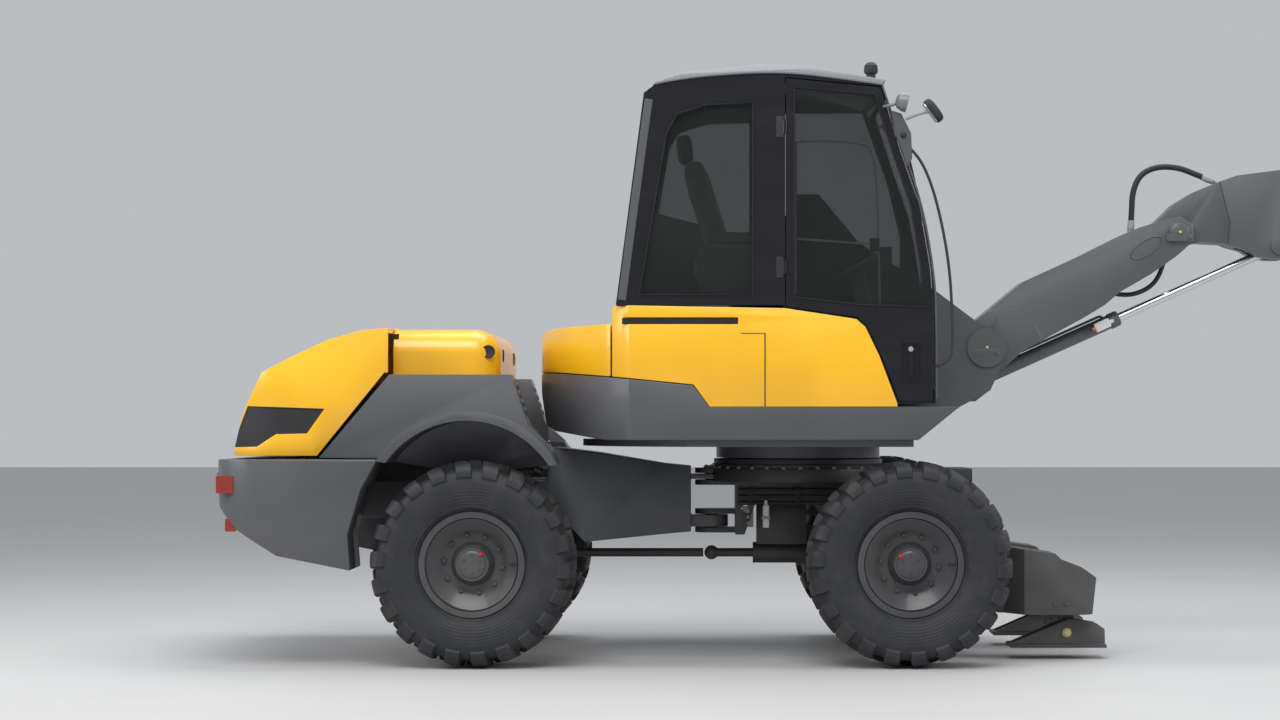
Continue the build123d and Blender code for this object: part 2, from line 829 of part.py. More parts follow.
# The right cover carries the cab; its top falls away under the door
floor_top = 1888.0
cover_top = [(-982, floor_top), (-104, 1872), (87, 1843), (267, 1816), (314, 1775)]
cover_right_side = [
    *cover_top,
    (386, 1626),
    (481, 1375),
    (481, cover_bottom_z),
    (-496, cover_bottom_z),
    (-579, 1471 + seam),
    (-1010 + seam, 1514 + seam),
    (-1010 + seam, floor_top - 12),
]
vent = [(-954, 1789), (-348, 1789), (-348, 1824), (-954, 1824)]
foot_from = slew_x - 110.0
cover_skin = 50.0
with BuildPart() as cover_right:
    plate(cover_right_side, -turret_half, slot_right - 6, origin=(slew_x, 0))
    trim_to_plan()
    block(
        foot_from,
        slew_x + 900,
        -turret_half + cover_skin,
        slot_right + 10,
        cover_bottom_z - 5,
        2000,
        Mode.SUBTRACT,
    )
    plate(vent, -turret_half, -turret_half + 25, origin=(slew_x, 0), mode=Mode.SUBTRACT)
save(cover_right, "cover_right")

left_top = 1790.0
cover_left_side = [
    (-1010 + seam, 1514 + seam),
    (-1010 + seam, left_top),
    (120, left_top),
    (300, 1700),
    (420, 1380),
    (420, cover_bottom_z),
    (-496, cover_bottom_z),
    (-579, 1471 + seam),
]
with BuildPart() as cover_left:
    plate(cover_left_side, slot_right - 6 + seam, turret_half, origin=(slew_x, 0))
    trim_to_plan()
    block(slot_from, slew_x + 900, -2000, slot_left, 1100, 2000, Mode.SUBTRACT)
save(cover_left, "cover_left")

# ---------------------------------------------------------------- cab

pillar_from = -264.0
pillar_to = -104.0
cab_bottom = 1375.0
cab_back = [(-984, floor_top), (-838, 2993), (-775, 3040), (-648, 3070), (-229, 3100)]
cab_front = [(50, 3085), (398, 3035), (511, 2685), (609, 2406), (664, 2084), (680, 1875)]
cab_outline = [
    *cab_back,
    *cab_front,
    (680, cab_bottom),
    (-110, cab_bottom),
    (-110, floor_top),
]
opening = [
    (pillar_to, 3075),
    (398, 3027),
    (503, 2685),
    (601, 2406),
    (656, 2084),
    (672, 1875),
    (672, cab_bottom + 8),
    (481 + seam, cab_bottom + 8),
    (386 + seam, 1628),
    (314 + seam, 1777),
    (270, 1820),
    (87, 1847),
    (pillar_to, 1876),
]


def cab_form(inset):
    """Cab side outline moved inwards."""
    with BuildSketch(side_plane((slew_x, 0), 0, cab_left - inset)) as form:
        with BuildLine():
            Polyline(*cab_outline, close=True)
        make_face()
        if inset:
            offset(amount=-inset, kind=Kind.INTERSECTION)
    return form.sketch


def cab_body(inset):
    """Solid cab, moved inwards all round."""
    with BuildPart() as body:
        extrude(to_extrude=cab_form(inset), amount=cab_left - cab_right - 2 * inset)
    return body.part


def shrink(points, amount, y):
    """Face from side points, made smaller all round."""
    with BuildSketch(side_plane((slew_x, 0), 0, y)) as face:
        with BuildLine():
            Polyline(*points, close=True)
        make_face()
        offset(amount=-amount, kind=Kind.INTERSECTION)
    return face.sketch


rear_window = [
    (-860, 1945),
    (pillar_from - 10, 1945),
    (pillar_from - 10, 2937),
    (-509, 2930),
    (-662, 2881),
    (-718, 2783),
]
left_window = [
    (pillar_to + 10, 1945),
    (560, 1945),
    (560, 2300),
    (490, 2600),
    (350, 2990),
    (pillar_to + 10, 2990),
]
door_hinge = (slew_x + pillar_to, cab_right)
door_hinge_radius = 13.0
door_hinge_length = 70.0
door_hinge_z = (2050.0, 2780.0)
skin = cab_body(0)
room = cab_body(cab_wall)
glass_out = cab_body(16)
glass_in = cab_body(16 + glass_thick)
frame_width = 55.0
window_low = cab_right + frame_width
window_high = cab_left - frame_width
with BuildPart() as cab_shell:
    add(skin)
    add(room, mode=Mode.SUBTRACT)
    add(cover_right.part, mode=Mode.SUBTRACT)
    extrude(
        to_extrude=shrink(opening, 0, cab_right + cab_wall + 20),
        amount=cab_wall + 40,
        mode=Mode.SUBTRACT,
    )
    plate(rear_window, cab_right - 10, cab_left + 10, (slew_x, 0), mode=Mode.SUBTRACT)
    plate(left_window, -300, cab_left + 10, (slew_x, 0), mode=Mode.SUBTRACT)
    block(slew_x + 380, slew_x + 800, window_low, window_high, 1450, 2960, Mode.SUBTRACT)
    block(slew_x - 1100, slew_x - 760, window_low, window_high, 1960, 2920, Mode.SUBTRACT)
    for z in door_hinge_z:
        room = (z - seal_gap, z + door_hinge_length + seal_gap)
        post(*door_hinge, door_hinge_radius + seal_gap, *room, Mode.SUBTRACT)
save(cab_shell, "cab_shell")

with BuildPart() as cab_glass:
    add(glass_out)
    add(glass_in, mode=Mode.SUBTRACT)
    with BuildPart(mode=Mode.PRIVATE) as panes:
        plate(rear_window, cab_right - 10, cab_right + 60, (slew_x, 0))
        plate(rear_window, cab_left - 60, cab_left + 10, (slew_x, 0))
        plate(left_window, cab_left - 60, cab_left + 10, (slew_x, 0))
        block(slew_x + 380, slew_x + 800, window_low, window_high, 1450, 2960)
        block(slew_x - 1100, slew_x - 760, window_low, window_high, 1960, 2920)
    add(panes.part, mode=Mode.INTERSECT)
save(cab_glass, "cab_glass")

roof_side = [
    (-792, 3034),
    (-775, 3052),
    (-648, 3097),
    (-229, 3140),
    (50, 3124),
    (424, 3060),
    (400, 3036),
    (50, 3086),
    (-229, 3101),
    (-648, 3071),
]
with BuildPart() as cab_roof:
    plate(roof_side, cab_right, cab_left, origin=(slew_x, 0))
    add(skin, mode=Mode.SUBTRACT)
save(cab_roof, "cab_roof")

door_outline = shrink(opening, seal_gap, cab_right + cab_wall)
door_glass_low = [
    (pillar_to + 50, 3020),
    (360, 2984),
    (455, 2685),
    (550, 2406),
    (604, 2084),
    (620, 1880),
    (300, 1890),
    (pillar_to + 50, 1930),
]
handle = [(500, 1480), (600, 1480), (600, 1690), (500, 1690)]
grip = [(540, 1520), (562, 1520), (562, 1655), (540, 1655)]
with BuildPart() as cab_door:
    extrude(to_extrude=door_outline, amount=cab_wall)
    plate(door_glass_low, cab_right - 5, cab_right + 60, (slew_x, 0), mode=Mode.SUBTRACT)
    plate(handle, cab_right, cab_right + 22, (slew_x, 0), mode=Mode.SUBTRACT)
    plate(grip, cab_right + 4, cab_right + 22, (slew_x, 0))
    for z in door_hinge_z:
        post(*door_hinge, door_hinge_radius, z, z + door_hinge_length)
save(cab_door, "cab_door")

with BuildPart() as door_glass:
    plate(door_glass_low, cab_right + 16, cab_right + 16 + glass_thick, origin=(slew_x, 0))
save(door_glass, "door_glass")

seat_y = (cab_right + cab_left) / 2
with BuildPart() as seat:
    block(slew_x - 560, slew_x - 120, seat_y - 200, seat_y + 200, floor_top + 46, 2060)
    block(slew_x - 600, slew_x - 60, seat_y - 250, seat_y + 250, 2060, 2170)
    back = [(-655, 2610), (-560, 2640), (-330, 2170), (-470, 2140), (-600, 2170)]
    plate(back, seat_y - 240, seat_y + 240, origin=(slew_x, 0))
    head = [(-675, 2665), (-660, 2820), (-600, 2820), (-575, 2665)]
    plate(head, seat_y - 130, seat_y + 130, origin=(slew_x, 0))
    plate([(-650, 2560), (-650, 2700), (-610, 2700), (-610, 2560)], seat_y - 40, seat_y + 40,
          origin=(slew_x, 0))
    for side in (-1, 1):
        near = seat_y + side * 300
        block(slew_x - 560, slew_x - 60, near - 45, near + 45, floor_top + 46, 2240)
save(seat, "seat")

with BuildPart() as console:
    column = [(300, cab_bottom + 46), (420, cab_bottom + 46), (330, 2060), (240, 2060)]
    plate(column, seat_y - 60, seat_y + 60, origin=(slew_x, 0))
    wheel_plane = Plane(
        origin=(slew_x + 280, seat_y, 2080), x_dir=(0, 1, 0), z_dir=(-0.5, 0, 0.866)
    )
    with BuildSketch(wheel_plane):
        Circle(180)
        Circle(155, mode=Mode.SUBTRACT)
        Rectangle(330, 36)
        Circle(60)
    extrude(amount=24)
save(console, "console")

rail_path = [
    (500, 2700),
    (640, 2569),
    (704, 2347),
    (751, 2080),
    (765, 1820),
    (765, 1654),
    (694, 1576),
]
rail_y = cab_right - 10.0
rail_radius = 9.0
with BuildPart() as mirrors:
    bracket = [(440, 2640), (525, 2650), (500, 2880), (400, 2890)]
    plate(bracket, cab_right - 14, cab_right, origin=(slew_x, 0))
    with BuildLine(side_plane((slew_x, 0), 0, rail_y)) as path:
        FilletPolyline(*rail_path, radius=[60, 250, 400, 300, 60])
    with BuildSketch(Plane(origin=path.line @ 0, z_dir=path.line % 0)):
        Circle(rail_radius)
    sweep(path=path.line)
    block(slew_x + 680, slew_x + 704, rail_y - 12, cab_right, 1560, 1592)
    with BuildSketch(Plane(origin=(slew_x + 470, cab_right - 10, 2830), z_dir=(0.9, -0.25, 0.35))):
        Circle(11)
    extrude(amount=185)
    block(slew_x + 625, slew_x + 665, cab_right - 165, cab_right - 10, 2810, 2985)
save(mirrors, "mirrors")

with BuildPart() as beacon:
    beacon_x = slew_x + 350
    post(beacon_x, cab_right + 120, 34, 3070, 3100)
    post(beacon_x, cab_right + 120, 45, 3100, 3170)
    add(cab_roof.part, mode=Mode.SUBTRACT)
save(beacon, "beacon")

# ---------------------------------------------------------------- arm

cylinder_eye_half = 32.0
eye_gap = 5.0


def along(start, end):
    """Distance and angle up from +X between two side points."""
    run = end[0] - start[0]
    rise = end[1] - start[1]
    return hypot(run, rise), degrees(atan2(rise, run))


def on_line(start, end, distance):
    """Side point at a distance from a start towards an end."""
    length = hypot(end[0] - start[0], end[1] - start[1])
    return (
        start[0] + (end[0] - start[0]) * distance / length,
        start[1] + (end[1] - start[1]) * distance / length,
    )


def tube(start, end, radius, mode=Mode.ADD):
    """Round bar in the arm's middle plane between two side points."""
    length, angle = along(start, end)
    way = (cos(radians(angle)), 0, sin(radians(angle)))
    face = Plane(origin=(start[0], boom_y, start[1]), x_dir=(0, 1, 0), z_dir=way)
    with BuildSketch(face) as disc:
        Circle(radius)
    extrude(to_extrude=disc.sketch, amount=length, mode=mode)


def middle_pin(point, radius, half, mode=Mode.ADD):
    """Round bar across the arm's middle plane."""
    cross_pin(point, radius, boom_y - half, boom_y + half, mode)


def pair(points, near, far, origin, angle=0.0, mode=Mode.ADD):
    """Two equal plates, one each side of the arm's middle plane."""
    plate(points, boom_y - far, boom_y - near, origin, angle, mode)
    plate(points, boom_y + near, boom_y + far, origin, angle, mode)


def pin_pair(point, radius, near, far, mode=Mode.ADD):
    """Two equal discs, one each side of the arm's middle plane."""
    cross_pin(point, radius, boom_y - far, boom_y - near, mode)
    cross_pin(point, radius, boom_y + near, boom_y + far, mode)


foot_ear = (-58.0, -194.0)
position_radius = 40.0
rod_ear = (567.0, -75.0)
position_base = (boom_foot[0] + foot_ear[0], boom_foot[1] + foot_ear[1])
position_head = (elbow[0] + rod_ear[0], elbow[1] + rod_ear[1])
gullet_half = 64.0
ear_room = cylinder_eye_half + eye_gap
doubler = 6.0
lower_side = [
    (-60, 150),
    (209, 370),
    (523, 514),
    (753, 629),
    (853, 671),
    (1012, 722),
    (1090, 735),
    (1160, 690),
    (1165, 600),
    (1068, 514),
    (925, 413),
    (753, 314),
    (667, 241),
    (551, 170),
    (209, -16),
    (79, -130),
    (20, -239),
    (-60, -300),
    (-150, -300),
    (-270, -260),
    (-275, -170),
]
with BuildPart() as lower_boom:
    plate(lower_side, boom_y - boom_half, boom_y + boom_half, origin=boom_foot)
    middle_pin(boom_foot, 120, boom_half)
    middle_pin(boom_foot, pin_radius + pin_gap, boom_half + 10, Mode.SUBTRACT)
    # Fork round the upper boom's tongue
    fork_half = tongue_half + side_gap
    middle_pin(elbow, 215, fork_half, Mode.SUBTRACT)
    middle_pin(elbow, pin_radius, boom_half + boss_height)
    pin_pair(elbow, 62, boom_half, boom_half + boss_height)
    # Room between the side plates for both cylinders
    gullet = [
        (-400, -400),
        (-400, -20),
        (-130, -110),
        (-20, -130),
        (400, 130),
        (500, 60),
        (200, -400),
    ]
    plate(gullet, boom_y - gullet_half, boom_y + gullet_half, boom_foot, mode=Mode.SUBTRACT)
    pin_pair(position_base, 60, position_radius + lug_gap, gullet_half + 2)
    middle_pin(position_base, 30, gullet_half + 2)
    pin_pair(lift_head, 52, ear_room, gullet_half + 2)
    # Doubler plates round the foot pin
    for side in (-1, 1):
        near = boom_y + side * boom_half
        ends = sorted((near, near + side * doubler))
        cross_pin((boom_foot[0] + 95, boom_foot[1] + 5), 215, *ends)
    with BuildPart(mode=Mode.PRIVATE) as silhouette:
        plate(lower_side, boom_y - 400, boom_y + 400, origin=boom_foot)
        middle_pin(boom_foot, 120, 400)
        middle_pin(elbow, 62, 400)
    add(silhouette.part, mode=Mode.INTERSECT)
    middle_pin(boom_foot, pin_radius + pin_gap, boom_half + 10, Mode.SUBTRACT)
save(lower_boom, "lower_boom")

upper_side = [
    (-124, 60),
    (-15, 167),
    (87, 229),
    (216, 283),
    (325, 321),
    (428, 334),
    (576, 354),
    (760, 345),
    (1050, 275),
    (1300, 190),
    (1600, 100),
    (1890, 15),
    (1985, -50),
    (1985, -130),
    (1880, -190),
    (1600, -150),
    (1200, -90),
    (800, -40),
    (640, -120),
    (600, -145),
    (530, -145),
    (447, -132),
    (379, -92),
    (257, -57),
    (121, -50),
    (25, -71),
    (-70, -85),
    (-120, -40),
]
stick_base = (elbow[0] + 786.0, elbow[1] + 416.0)
stick_cylinder_radius = 50.0
with BuildPart() as upper_boom:
    plate(upper_side, boom_y - upper_half, boom_y + upper_half, origin=elbow)
    # Narrow tongue inside the lower boom's fork
    cheeks = [(-500, -500), (250, -500), (290, 60), (180, 500), (-500, 500)]
    pair(cheeks, tongue_half, 400, elbow, mode=Mode.SUBTRACT)
    middle_pin(elbow, pin_radius + pin_gap, boom_half + 10, Mode.SUBTRACT)
    # Fork round the stick
    stick_fork = stick_half + side_gap
    middle_pin(stick_pivot, 262, stick_fork, Mode.SUBTRACT)
    middle_pin(stick_pivot, pin_radius, upper_half + boss_height)
    pin_pair(stick_pivot, 64, upper_half, upper_half + boss_height)
    # Ears under the boom for the positioning cylinder's rod
    middle_pin(position_head, 125, ear_room, Mode.SUBTRACT)
    throat = [(330, -75), (567, -40), (567, -300), (330, -300)]
    plate(throat, boom_y - ear_room, boom_y + ear_room, elbow, mode=Mode.SUBTRACT)
    pin_pair(position_head, 50, upper_half, upper_half + boss_height)
    # Ears on top for the stick cylinder
    ears = [(-130, -110), (-55, 40), (0, 62), (55, 40), (130, -130)]
    ear_near = stick_cylinder_radius + lug_gap
    pair(ears, ear_near, ear_near + 26, stick_base)
    middle_pin(stick_base, 30, ear_near + 26)
save(upper_boom, "upper_boom")

bucket_pin_half = 150.0
stick_end = 44.0
stick_side = [
    (-120, -105),
    (-200, 60),
    (-262, 95),
    (-288, 145),
    (-262, 198),
    (-200, 205),
    (220, 165),
    (800, 115),
    (1450, 80),
    (stick_length - 75, 62),
    (stick_length - 45, stick_end),
    (stick_length + 15, stick_end - 2),
    (stick_length + stick_end, 0),
    (stick_length + 15, 2 - stick_end),
    (stick_length - 45, -stick_end),
    (stick_length - 75, -62),
    (1450, -95),
    (700, -150),
    (60, -130),
]


def on_stick(down, out):
    """Side point from its distances down the stick and out in front of it."""
    run, rise = cos(radians(stick_angle)), sin(radians(stick_angle))
    return (stick_pivot[0] + down * run - out * rise, stick_pivot[1] + down * rise + out * run)


stick_ear = (-219.0, 145.0)
stick_head = on_stick(*stick_ear)
bucket_base_ear = (119.0, 240.0)
bucket_base = on_stick(*bucket_base_ear)
bucket_cylinder_radius = 44.0
rocker_up = 350.8
rocker_pivot = on_line(bucket_pivot, stick_pivot, rocker_up)
with BuildPart() as stick:
    plate(stick_side, boom_y - stick_half, boom_y + stick_half, stick_pivot, stick_angle)
    middle_pin(stick_pivot, pin_radius + pin_gap, 200, Mode.SUBTRACT)
    rod_way = [(-204, 216), (-143, 136), (2, -262), (-430, -262), (-380, 232)]
    room = (boom_y - ear_room, boom_y + ear_room)
    plate(rod_way, *room, stick_pivot, stick_angle, Mode.SUBTRACT)
    middle_pin(stick_head, 70, ear_room, Mode.SUBTRACT)
    pin_pair(stick_head, 40, stick_half, stick_half + boss_height)
    ears = [(105, -152), (-43, -46), (-60, 6), (-33, 54), (68, 73), (185, 41)]
    ear_near = bucket_cylinder_radius + lug_gap
    pair(ears, ear_near, ear_near + 26, bucket_base, stick_angle)
    middle_pin(bucket_base, 30, ear_near + 26)
    middle_pin(rocker_pivot, 30, stick_half + 30)
    middle_pin(bucket_pivot, 30, bucket_pin_half)
save(stick, "stick")

# Bucket linkage: rocker end and bucket ear from their pivots, at rest
rocker_length = 341.3
rocker_angle = stick_angle + 24.2
bucket_ear_length = 287.9
bucket_ear_angle = stick_angle + 8.0
link_joint = (
    rocker_pivot[0] + rocker_length * cos(radians(rocker_angle)),
    rocker_pivot[1] + rocker_length * sin(radians(rocker_angle)),
)
bucket_ear = (
    bucket_pivot[0] + bucket_ear_length * cos(radians(bucket_ear_angle)),
    bucket_pivot[1] + bucket_ear_length * sin(radians(bucket_ear_angle)),
)
rocker_near = stick_half + side_gap
rocker_far = rocker_near + 20.0
link_near = cylinder_eye_half + 3.0
link_far = stick_half
ear_in = rocker_far + 6.0
ear_out = ear_in + 24.0


def bar(start, end, radius):
    """Side outline of a flat bar with round ends."""
    length, angle = along(start, end)
    with BuildSketch(side_plane(start, angle, boom_y)) as face:
        with Locations((length / 2, 0)):
            SlotCenterToCenter(length, 2 * radius)
    return face.sketch


with BuildPart() as rocker:
    shape = bar(rocker_pivot, link_joint, 48)
    for near, far in ((-rocker_far, -rocker_near), (rocker_near, rocker_far)):
        extrude(to_extrude=shape.moved(Location((0, far, 0))), amount=far - near)
    pin_pair(rocker_pivot, 30 + pin_gap, rocker_near - 5, rocker_far + 5, Mode.SUBTRACT)
    pin_pair(link_joint, 26, link_near, rocker_far)
save(rocker, "rocker")

link_half = 34.0
link_end = 44.0
with BuildPart() as bucket_link:
    shape = bar(link_joint, bucket_ear, link_half)
    for near, far in ((-link_far, -link_near), (link_near, link_far)):
        extrude(to_extrude=shape.moved(Location((0, far, 0))), amount=far - near)
    for joint in (link_joint, bucket_ear):
        pin_pair(joint, link_end, link_near, link_far)
    web_from = on_line(link_joint, bucket_ear, 110)
    web_to = on_line(bucket_ear, link_joint, 110)
    tube(web_from, web_to, 30)
    pin_pair(link_joint, 26 + pin_gap, link_near - 5, link_far + 5, Mode.SUBTRACT)
save(bucket_link, "bucket_link")

# Bucket, in its own frame: x from the pivot towards the teeth, y towards the back's bulge
ear_lead = 107.0
bucket_angle = bucket_ear_angle - ear_lead
bucket_half = 450.0
bucket_side_plate = 22.0
tooth_length = 90.0
teeth = 5


def bucket_plane(y):
    """Bucket's own side plane at a y."""
    return side_plane(bucket_pivot, bucket_angle, y)


with BuildPart() as bucket:
    with BuildSketch(bucket_plane(boom_y + bucket_half)):
        with BuildLine():
            Line((95, -40), (45, 290))
            ThreePointArc((45, 290), (240, 455), (520, 420))
            Line((520, 420), (890, 20))
            ThreePointArc((890, 20), (480, 60), (95, -40))
        make_face()
    extrude(amount=2 * bucket_half)
    with BuildSketch(bucket_plane(boom_y + bucket_half - bucket_side_plate)):
        with BuildLine():
            Line((113, -200), (113, -40))
            Line((113, -40), (64, 282))
            ThreePointArc((64, 282), (244, 437), (510, 405))
            Line((510, 405), (905, -25))
            Line((905, -25), (905, -200))
            Line((905, -200), (113, -200))
        make_face()
    extrude(amount=2 * (bucket_half - bucket_side_plate), mode=Mode.SUBTRACT)
    # Ears on the top plate, with bosses beside the link and the stick
    ear_side = [
        (100, -40),
        (30, -62),
        (-40, -50),
        (-62, 0),
        (-148, 262),
        (-140, 325),
        (-84, 342),
        (60, 330),
    ]
    for near, far in ((boom_y - ear_out, boom_y - ear_in), (boom_y + ear_in, boom_y + ear_out)):
        plate(ear_side, near, far, bucket_pivot, bucket_angle)
    pin_pair(bucket_ear, 48, link_far + 6, ear_in)
    pin_pair(bucket_ear, 40, ear_out, ear_out + boss_height)
    pin_pair(bucket_pivot, 46, stick_half + 6, ear_in)
    pin_pair(bucket_pivot, 30 + pin_gap, stick_half, ear_out + 5, Mode.SUBTRACT)
    # Teeth along the cutting edge
    pitch = (2 * bucket_half - 110) / (teeth - 1)
    for n in range(teeth):
        y = boom_y - (teeth - 1) / 2 * pitch + n * pitch
        tooth = [(800, 95), (860, 75), (890 + tooth_length, -50), (875, -8), (815, 60)]
        plate(tooth, y - 38, y + 38, bucket_pivot, bucket_angle)
save(bucket, "bucket")

# name, base eye, rod eye, barrel radius, rod radius, barrel length, rod length
cylinders = [
    ("lift_cylinder", lift_base, lift_head, lift_radius, 30.0, 720.0, 730.0),
    ("positioning_cylinder", position_base, position_head, position_radius, 25.0, 900.0, 1190.0),
    ("stick_cylinder", stick_base, stick_head, stick_cylinder_radius, 30.0, 840.0, 880.0),
    ("bucket_cylinder", bucket_base, link_joint, bucket_cylinder_radius, 26.0, 840.0, 820.0),
]
for name, base, head, barrel_radius, rod_radius, barrel_length, rod_length in cylinders:
    reach, angle = along(base, head)
    bore_radius = barrel_radius - 9.0
    eye_radius = barrel_radius
    with BuildPart() as barrel:
        tube(on_line(base, head, eye_radius - 12), on_line(base, head, barrel_length), barrel_radius)
        tube(
            on_line(base, head, eye_radius + 14),
            on_line(base, head, barrel_length - 40),
            bore_radius,
            Mode.SUBTRACT,
        )
        tube(
            on_line(base, head, barrel_length - 60),
            on_line(base, head, barrel_length + 5),
            rod_radius + pin_gap,
            Mode.SUBTRACT,
        )
        middle_pin(base, eye_radius, barrel_radius)
        middle_pin(base, 30 + pin_gap, barrel_radius + 5, Mode.SUBTRACT)
    save(barrel, f"{name}_barrel")
    with BuildPart() as rod:
        tube(on_line(base, head, reach - rod_length), head, rod_radius)
        piston = reach - rod_length
        tube(
            on_line(base, head, piston), on_line(base, head, piston + 36), bore_radius - 0.5
        )
        middle_pin(head, rod_radius + 18, cylinder_eye_half)
        middle_pin(head, 24, 60, Mode.SUBTRACT)
    save(rod, f"{name}_rod")
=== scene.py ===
import json
import math

import bmesh
import bpy
import numpy as np
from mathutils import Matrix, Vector


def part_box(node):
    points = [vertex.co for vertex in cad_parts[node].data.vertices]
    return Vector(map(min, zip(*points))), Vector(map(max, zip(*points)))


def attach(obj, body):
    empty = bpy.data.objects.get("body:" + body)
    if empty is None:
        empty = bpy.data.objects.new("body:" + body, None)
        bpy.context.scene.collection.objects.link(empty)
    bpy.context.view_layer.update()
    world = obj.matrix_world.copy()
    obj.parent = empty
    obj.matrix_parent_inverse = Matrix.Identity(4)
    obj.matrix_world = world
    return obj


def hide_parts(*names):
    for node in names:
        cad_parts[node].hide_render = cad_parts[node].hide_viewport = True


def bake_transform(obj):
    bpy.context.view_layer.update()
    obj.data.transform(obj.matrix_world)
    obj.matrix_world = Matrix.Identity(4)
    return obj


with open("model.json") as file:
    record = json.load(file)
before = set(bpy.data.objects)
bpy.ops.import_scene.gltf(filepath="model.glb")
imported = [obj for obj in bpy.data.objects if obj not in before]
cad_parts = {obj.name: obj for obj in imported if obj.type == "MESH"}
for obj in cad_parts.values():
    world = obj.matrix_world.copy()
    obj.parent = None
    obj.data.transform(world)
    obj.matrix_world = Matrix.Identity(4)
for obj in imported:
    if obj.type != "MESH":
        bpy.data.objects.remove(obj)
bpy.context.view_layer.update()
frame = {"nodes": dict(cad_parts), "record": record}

print("frame loaded:", len(frame["nodes"]), "nodes")

# places, read from the frame


def low(node):
    return np.array(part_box(node)[0])


def high(node):
    return np.array(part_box(node)[1])


def middle(node):
    return (low(node) + high(node)) / 2


jointRows = {row["name"]: row for row in frame["record"]["behaviour"]["joints"]}


def jointAt(name):
    return np.array(jointRows[name]["pos_m"])


rearAxleX = middle("rim_rear_right")[0]
frontAxleX = middle("rim_front_right")[0]
axleZ = middle("rim_rear_right")[2]
slewX = middle("slew_ring")[0]
cabRight = low("cab_shell")[1]
cabLeft = high("cab_shell")[1]
cabWidth = cabLeft - cabRight
cabMiddle = (cabRight + cabLeft) / 2
boomY = middle("lower_boom")[1]
boomFoot = jointAt("boom_foot")
elbow = jointAt("boom_knee")

# shader wiring


class Wire:
    # a shader socket; arithmetic on it adds Math nodes, and node() adds any other node
    def __init__(self, tree, socket=None):
        self.tree = tree
        self.socket = socket

    def node(self, kind, settings=None, inputs=None, output=0):
        made = self.tree.nodes.new(kind)
        for key, value in (settings or {}).items():
            setattr(made, key, value)
        for key, value in (inputs or {}).items():
            if isinstance(value, Wire):
                self.tree.links.new(value.socket, made.inputs[key])
            else:
                made.inputs[key].default_value = value
        return Wire(self.tree, made.outputs[output])

    def maths(self, operation, *values):
        return self.node("ShaderNodeMath", {"operation": operation}, dict(enumerate(values)))

    def wave(self):
        return self.maths("SINE", self)

    def __add__(self, other):
        return self.maths("ADD", self, other)

    def __radd__(self, other):
        return self.maths("ADD", other, self)

    def __sub__(self, other):
        return self.maths("SUBTRACT", self, other)

    def __rsub__(self, other):
        return self.maths("SUBTRACT", other, self)

    def __mul__(self, other):
        return self.maths("MULTIPLY", self, other)

    def __rmul__(self, other):
        return self.maths("MULTIPLY", other, self)

    def __pow__(self, other):
        return self.maths("POWER", self, other)

    def between(self, start, end):
        # smooth step from 0 at start to 1 at end
        return self.node("ShaderNodeMapRange", {"interpolation_type": "SMOOTHSTEP"},
                         {"Value": self, "From Min": start, "From Max": end})

    def blend(self, first, second):
        # first where this value is 0 and second where it is 1, wires or colours
        return self.node("ShaderNodeMix", {"data_type": "RGBA"},
                         {0: self, 6: first, 7: second}, output=2)

    def noise(self, scale, detail=3.0, roughness=0.55):
        # cloud pattern on this vector
        return self.node("ShaderNodeTexNoise", {},
                         {"Vector": self, "Scale": scale, "Detail": detail,
                          "Roughness": roughness})

    def stretched(self, x, y, z):
        return self.node("ShaderNodeMapping", {}, {"Vector": self, "Scale": (x, y, z)})

    def axis(self, index):
        return self.node("ShaderNodeSeparateXYZ", {}, {"Vector": self}, output=index)

    def bump(self, distance, strength=1.0):
        return self.node("ShaderNodeBump", {},
                         {"Height": self, "Distance": distance, "Strength": strength})


def newFinish(name, constants):
    # a material, its shader, and its object coordinates to start from
    material = bpy.data.materials.new(name)
    material.use_nodes = True
    tree = material.node_tree
    shader = tree.nodes["Principled BSDF"]
    for socket, value in constants.items():
        shader.inputs[socket].default_value = value
    where = Wire(tree).node("ShaderNodeTexCoord", output="Object")
    return material, shader, where


def feed(shader, wires):
    for name, wire in wires.items():
        wire.tree.links.new(wire.socket, shader.inputs[name])


def rgba(colour, factor=1.0):
    return (*[min(1.0, c * factor) for c in colour], 1.0)


paintLook = {
    "cloudScale": 1.7,         # slow change of tone over a panel, per metre
    "cloudAmount": 0.06,
    "peelScale": 380.0,        # orange peel of the spray
    "peelDepth": 0.00010,
    "dustTop": 1.3,            # height in metres where road dust has thinned out
    "dustColour": (0.30, 0.28, 0.25),
    "dustAmount": 0.16,
}


def sprayedPaint(name, colour, roughness=0.34, coat=0.3, dust=1.0):
    # tone clouds, orange peel, wiping streaks, and road dust that thins with height
    look = paintLook
    material, shader, where = newFinish(name, {"Coat Roughness": 0.1, "IOR": 1.5})
    cloud = where.noise(look["cloudScale"])
    speck = where.noise(90.0, 2.0)
    amount = look["cloudAmount"]
    tone = cloud.between(0.3, 0.7).blend(rgba(colour, 1 - amount), rgba(colour, 1 + amount))
    film = where.axis(2).between(look["dustTop"], 0.1) * cloud.between(0.3, 0.8)
    film = dust * (look["dustAmount"] * film + 0.03 * speck.between(0.62, 0.74))
    streak = where.stretched(3.0, 3.0, 45.0).noise(3.0, 2.0).between(0.5, 0.8)
    feed(shader, {
        "Base Color": film.blend(tone, rgba(look["dustColour"])),
        "Roughness": roughness + 0.08 * streak + 0.4 * film,
        "Coat Weight": coat * (1 - film),
        "Normal": where.noise(look["peelScale"], 1.0).bump(look["peelDepth"]),
    })
    return material


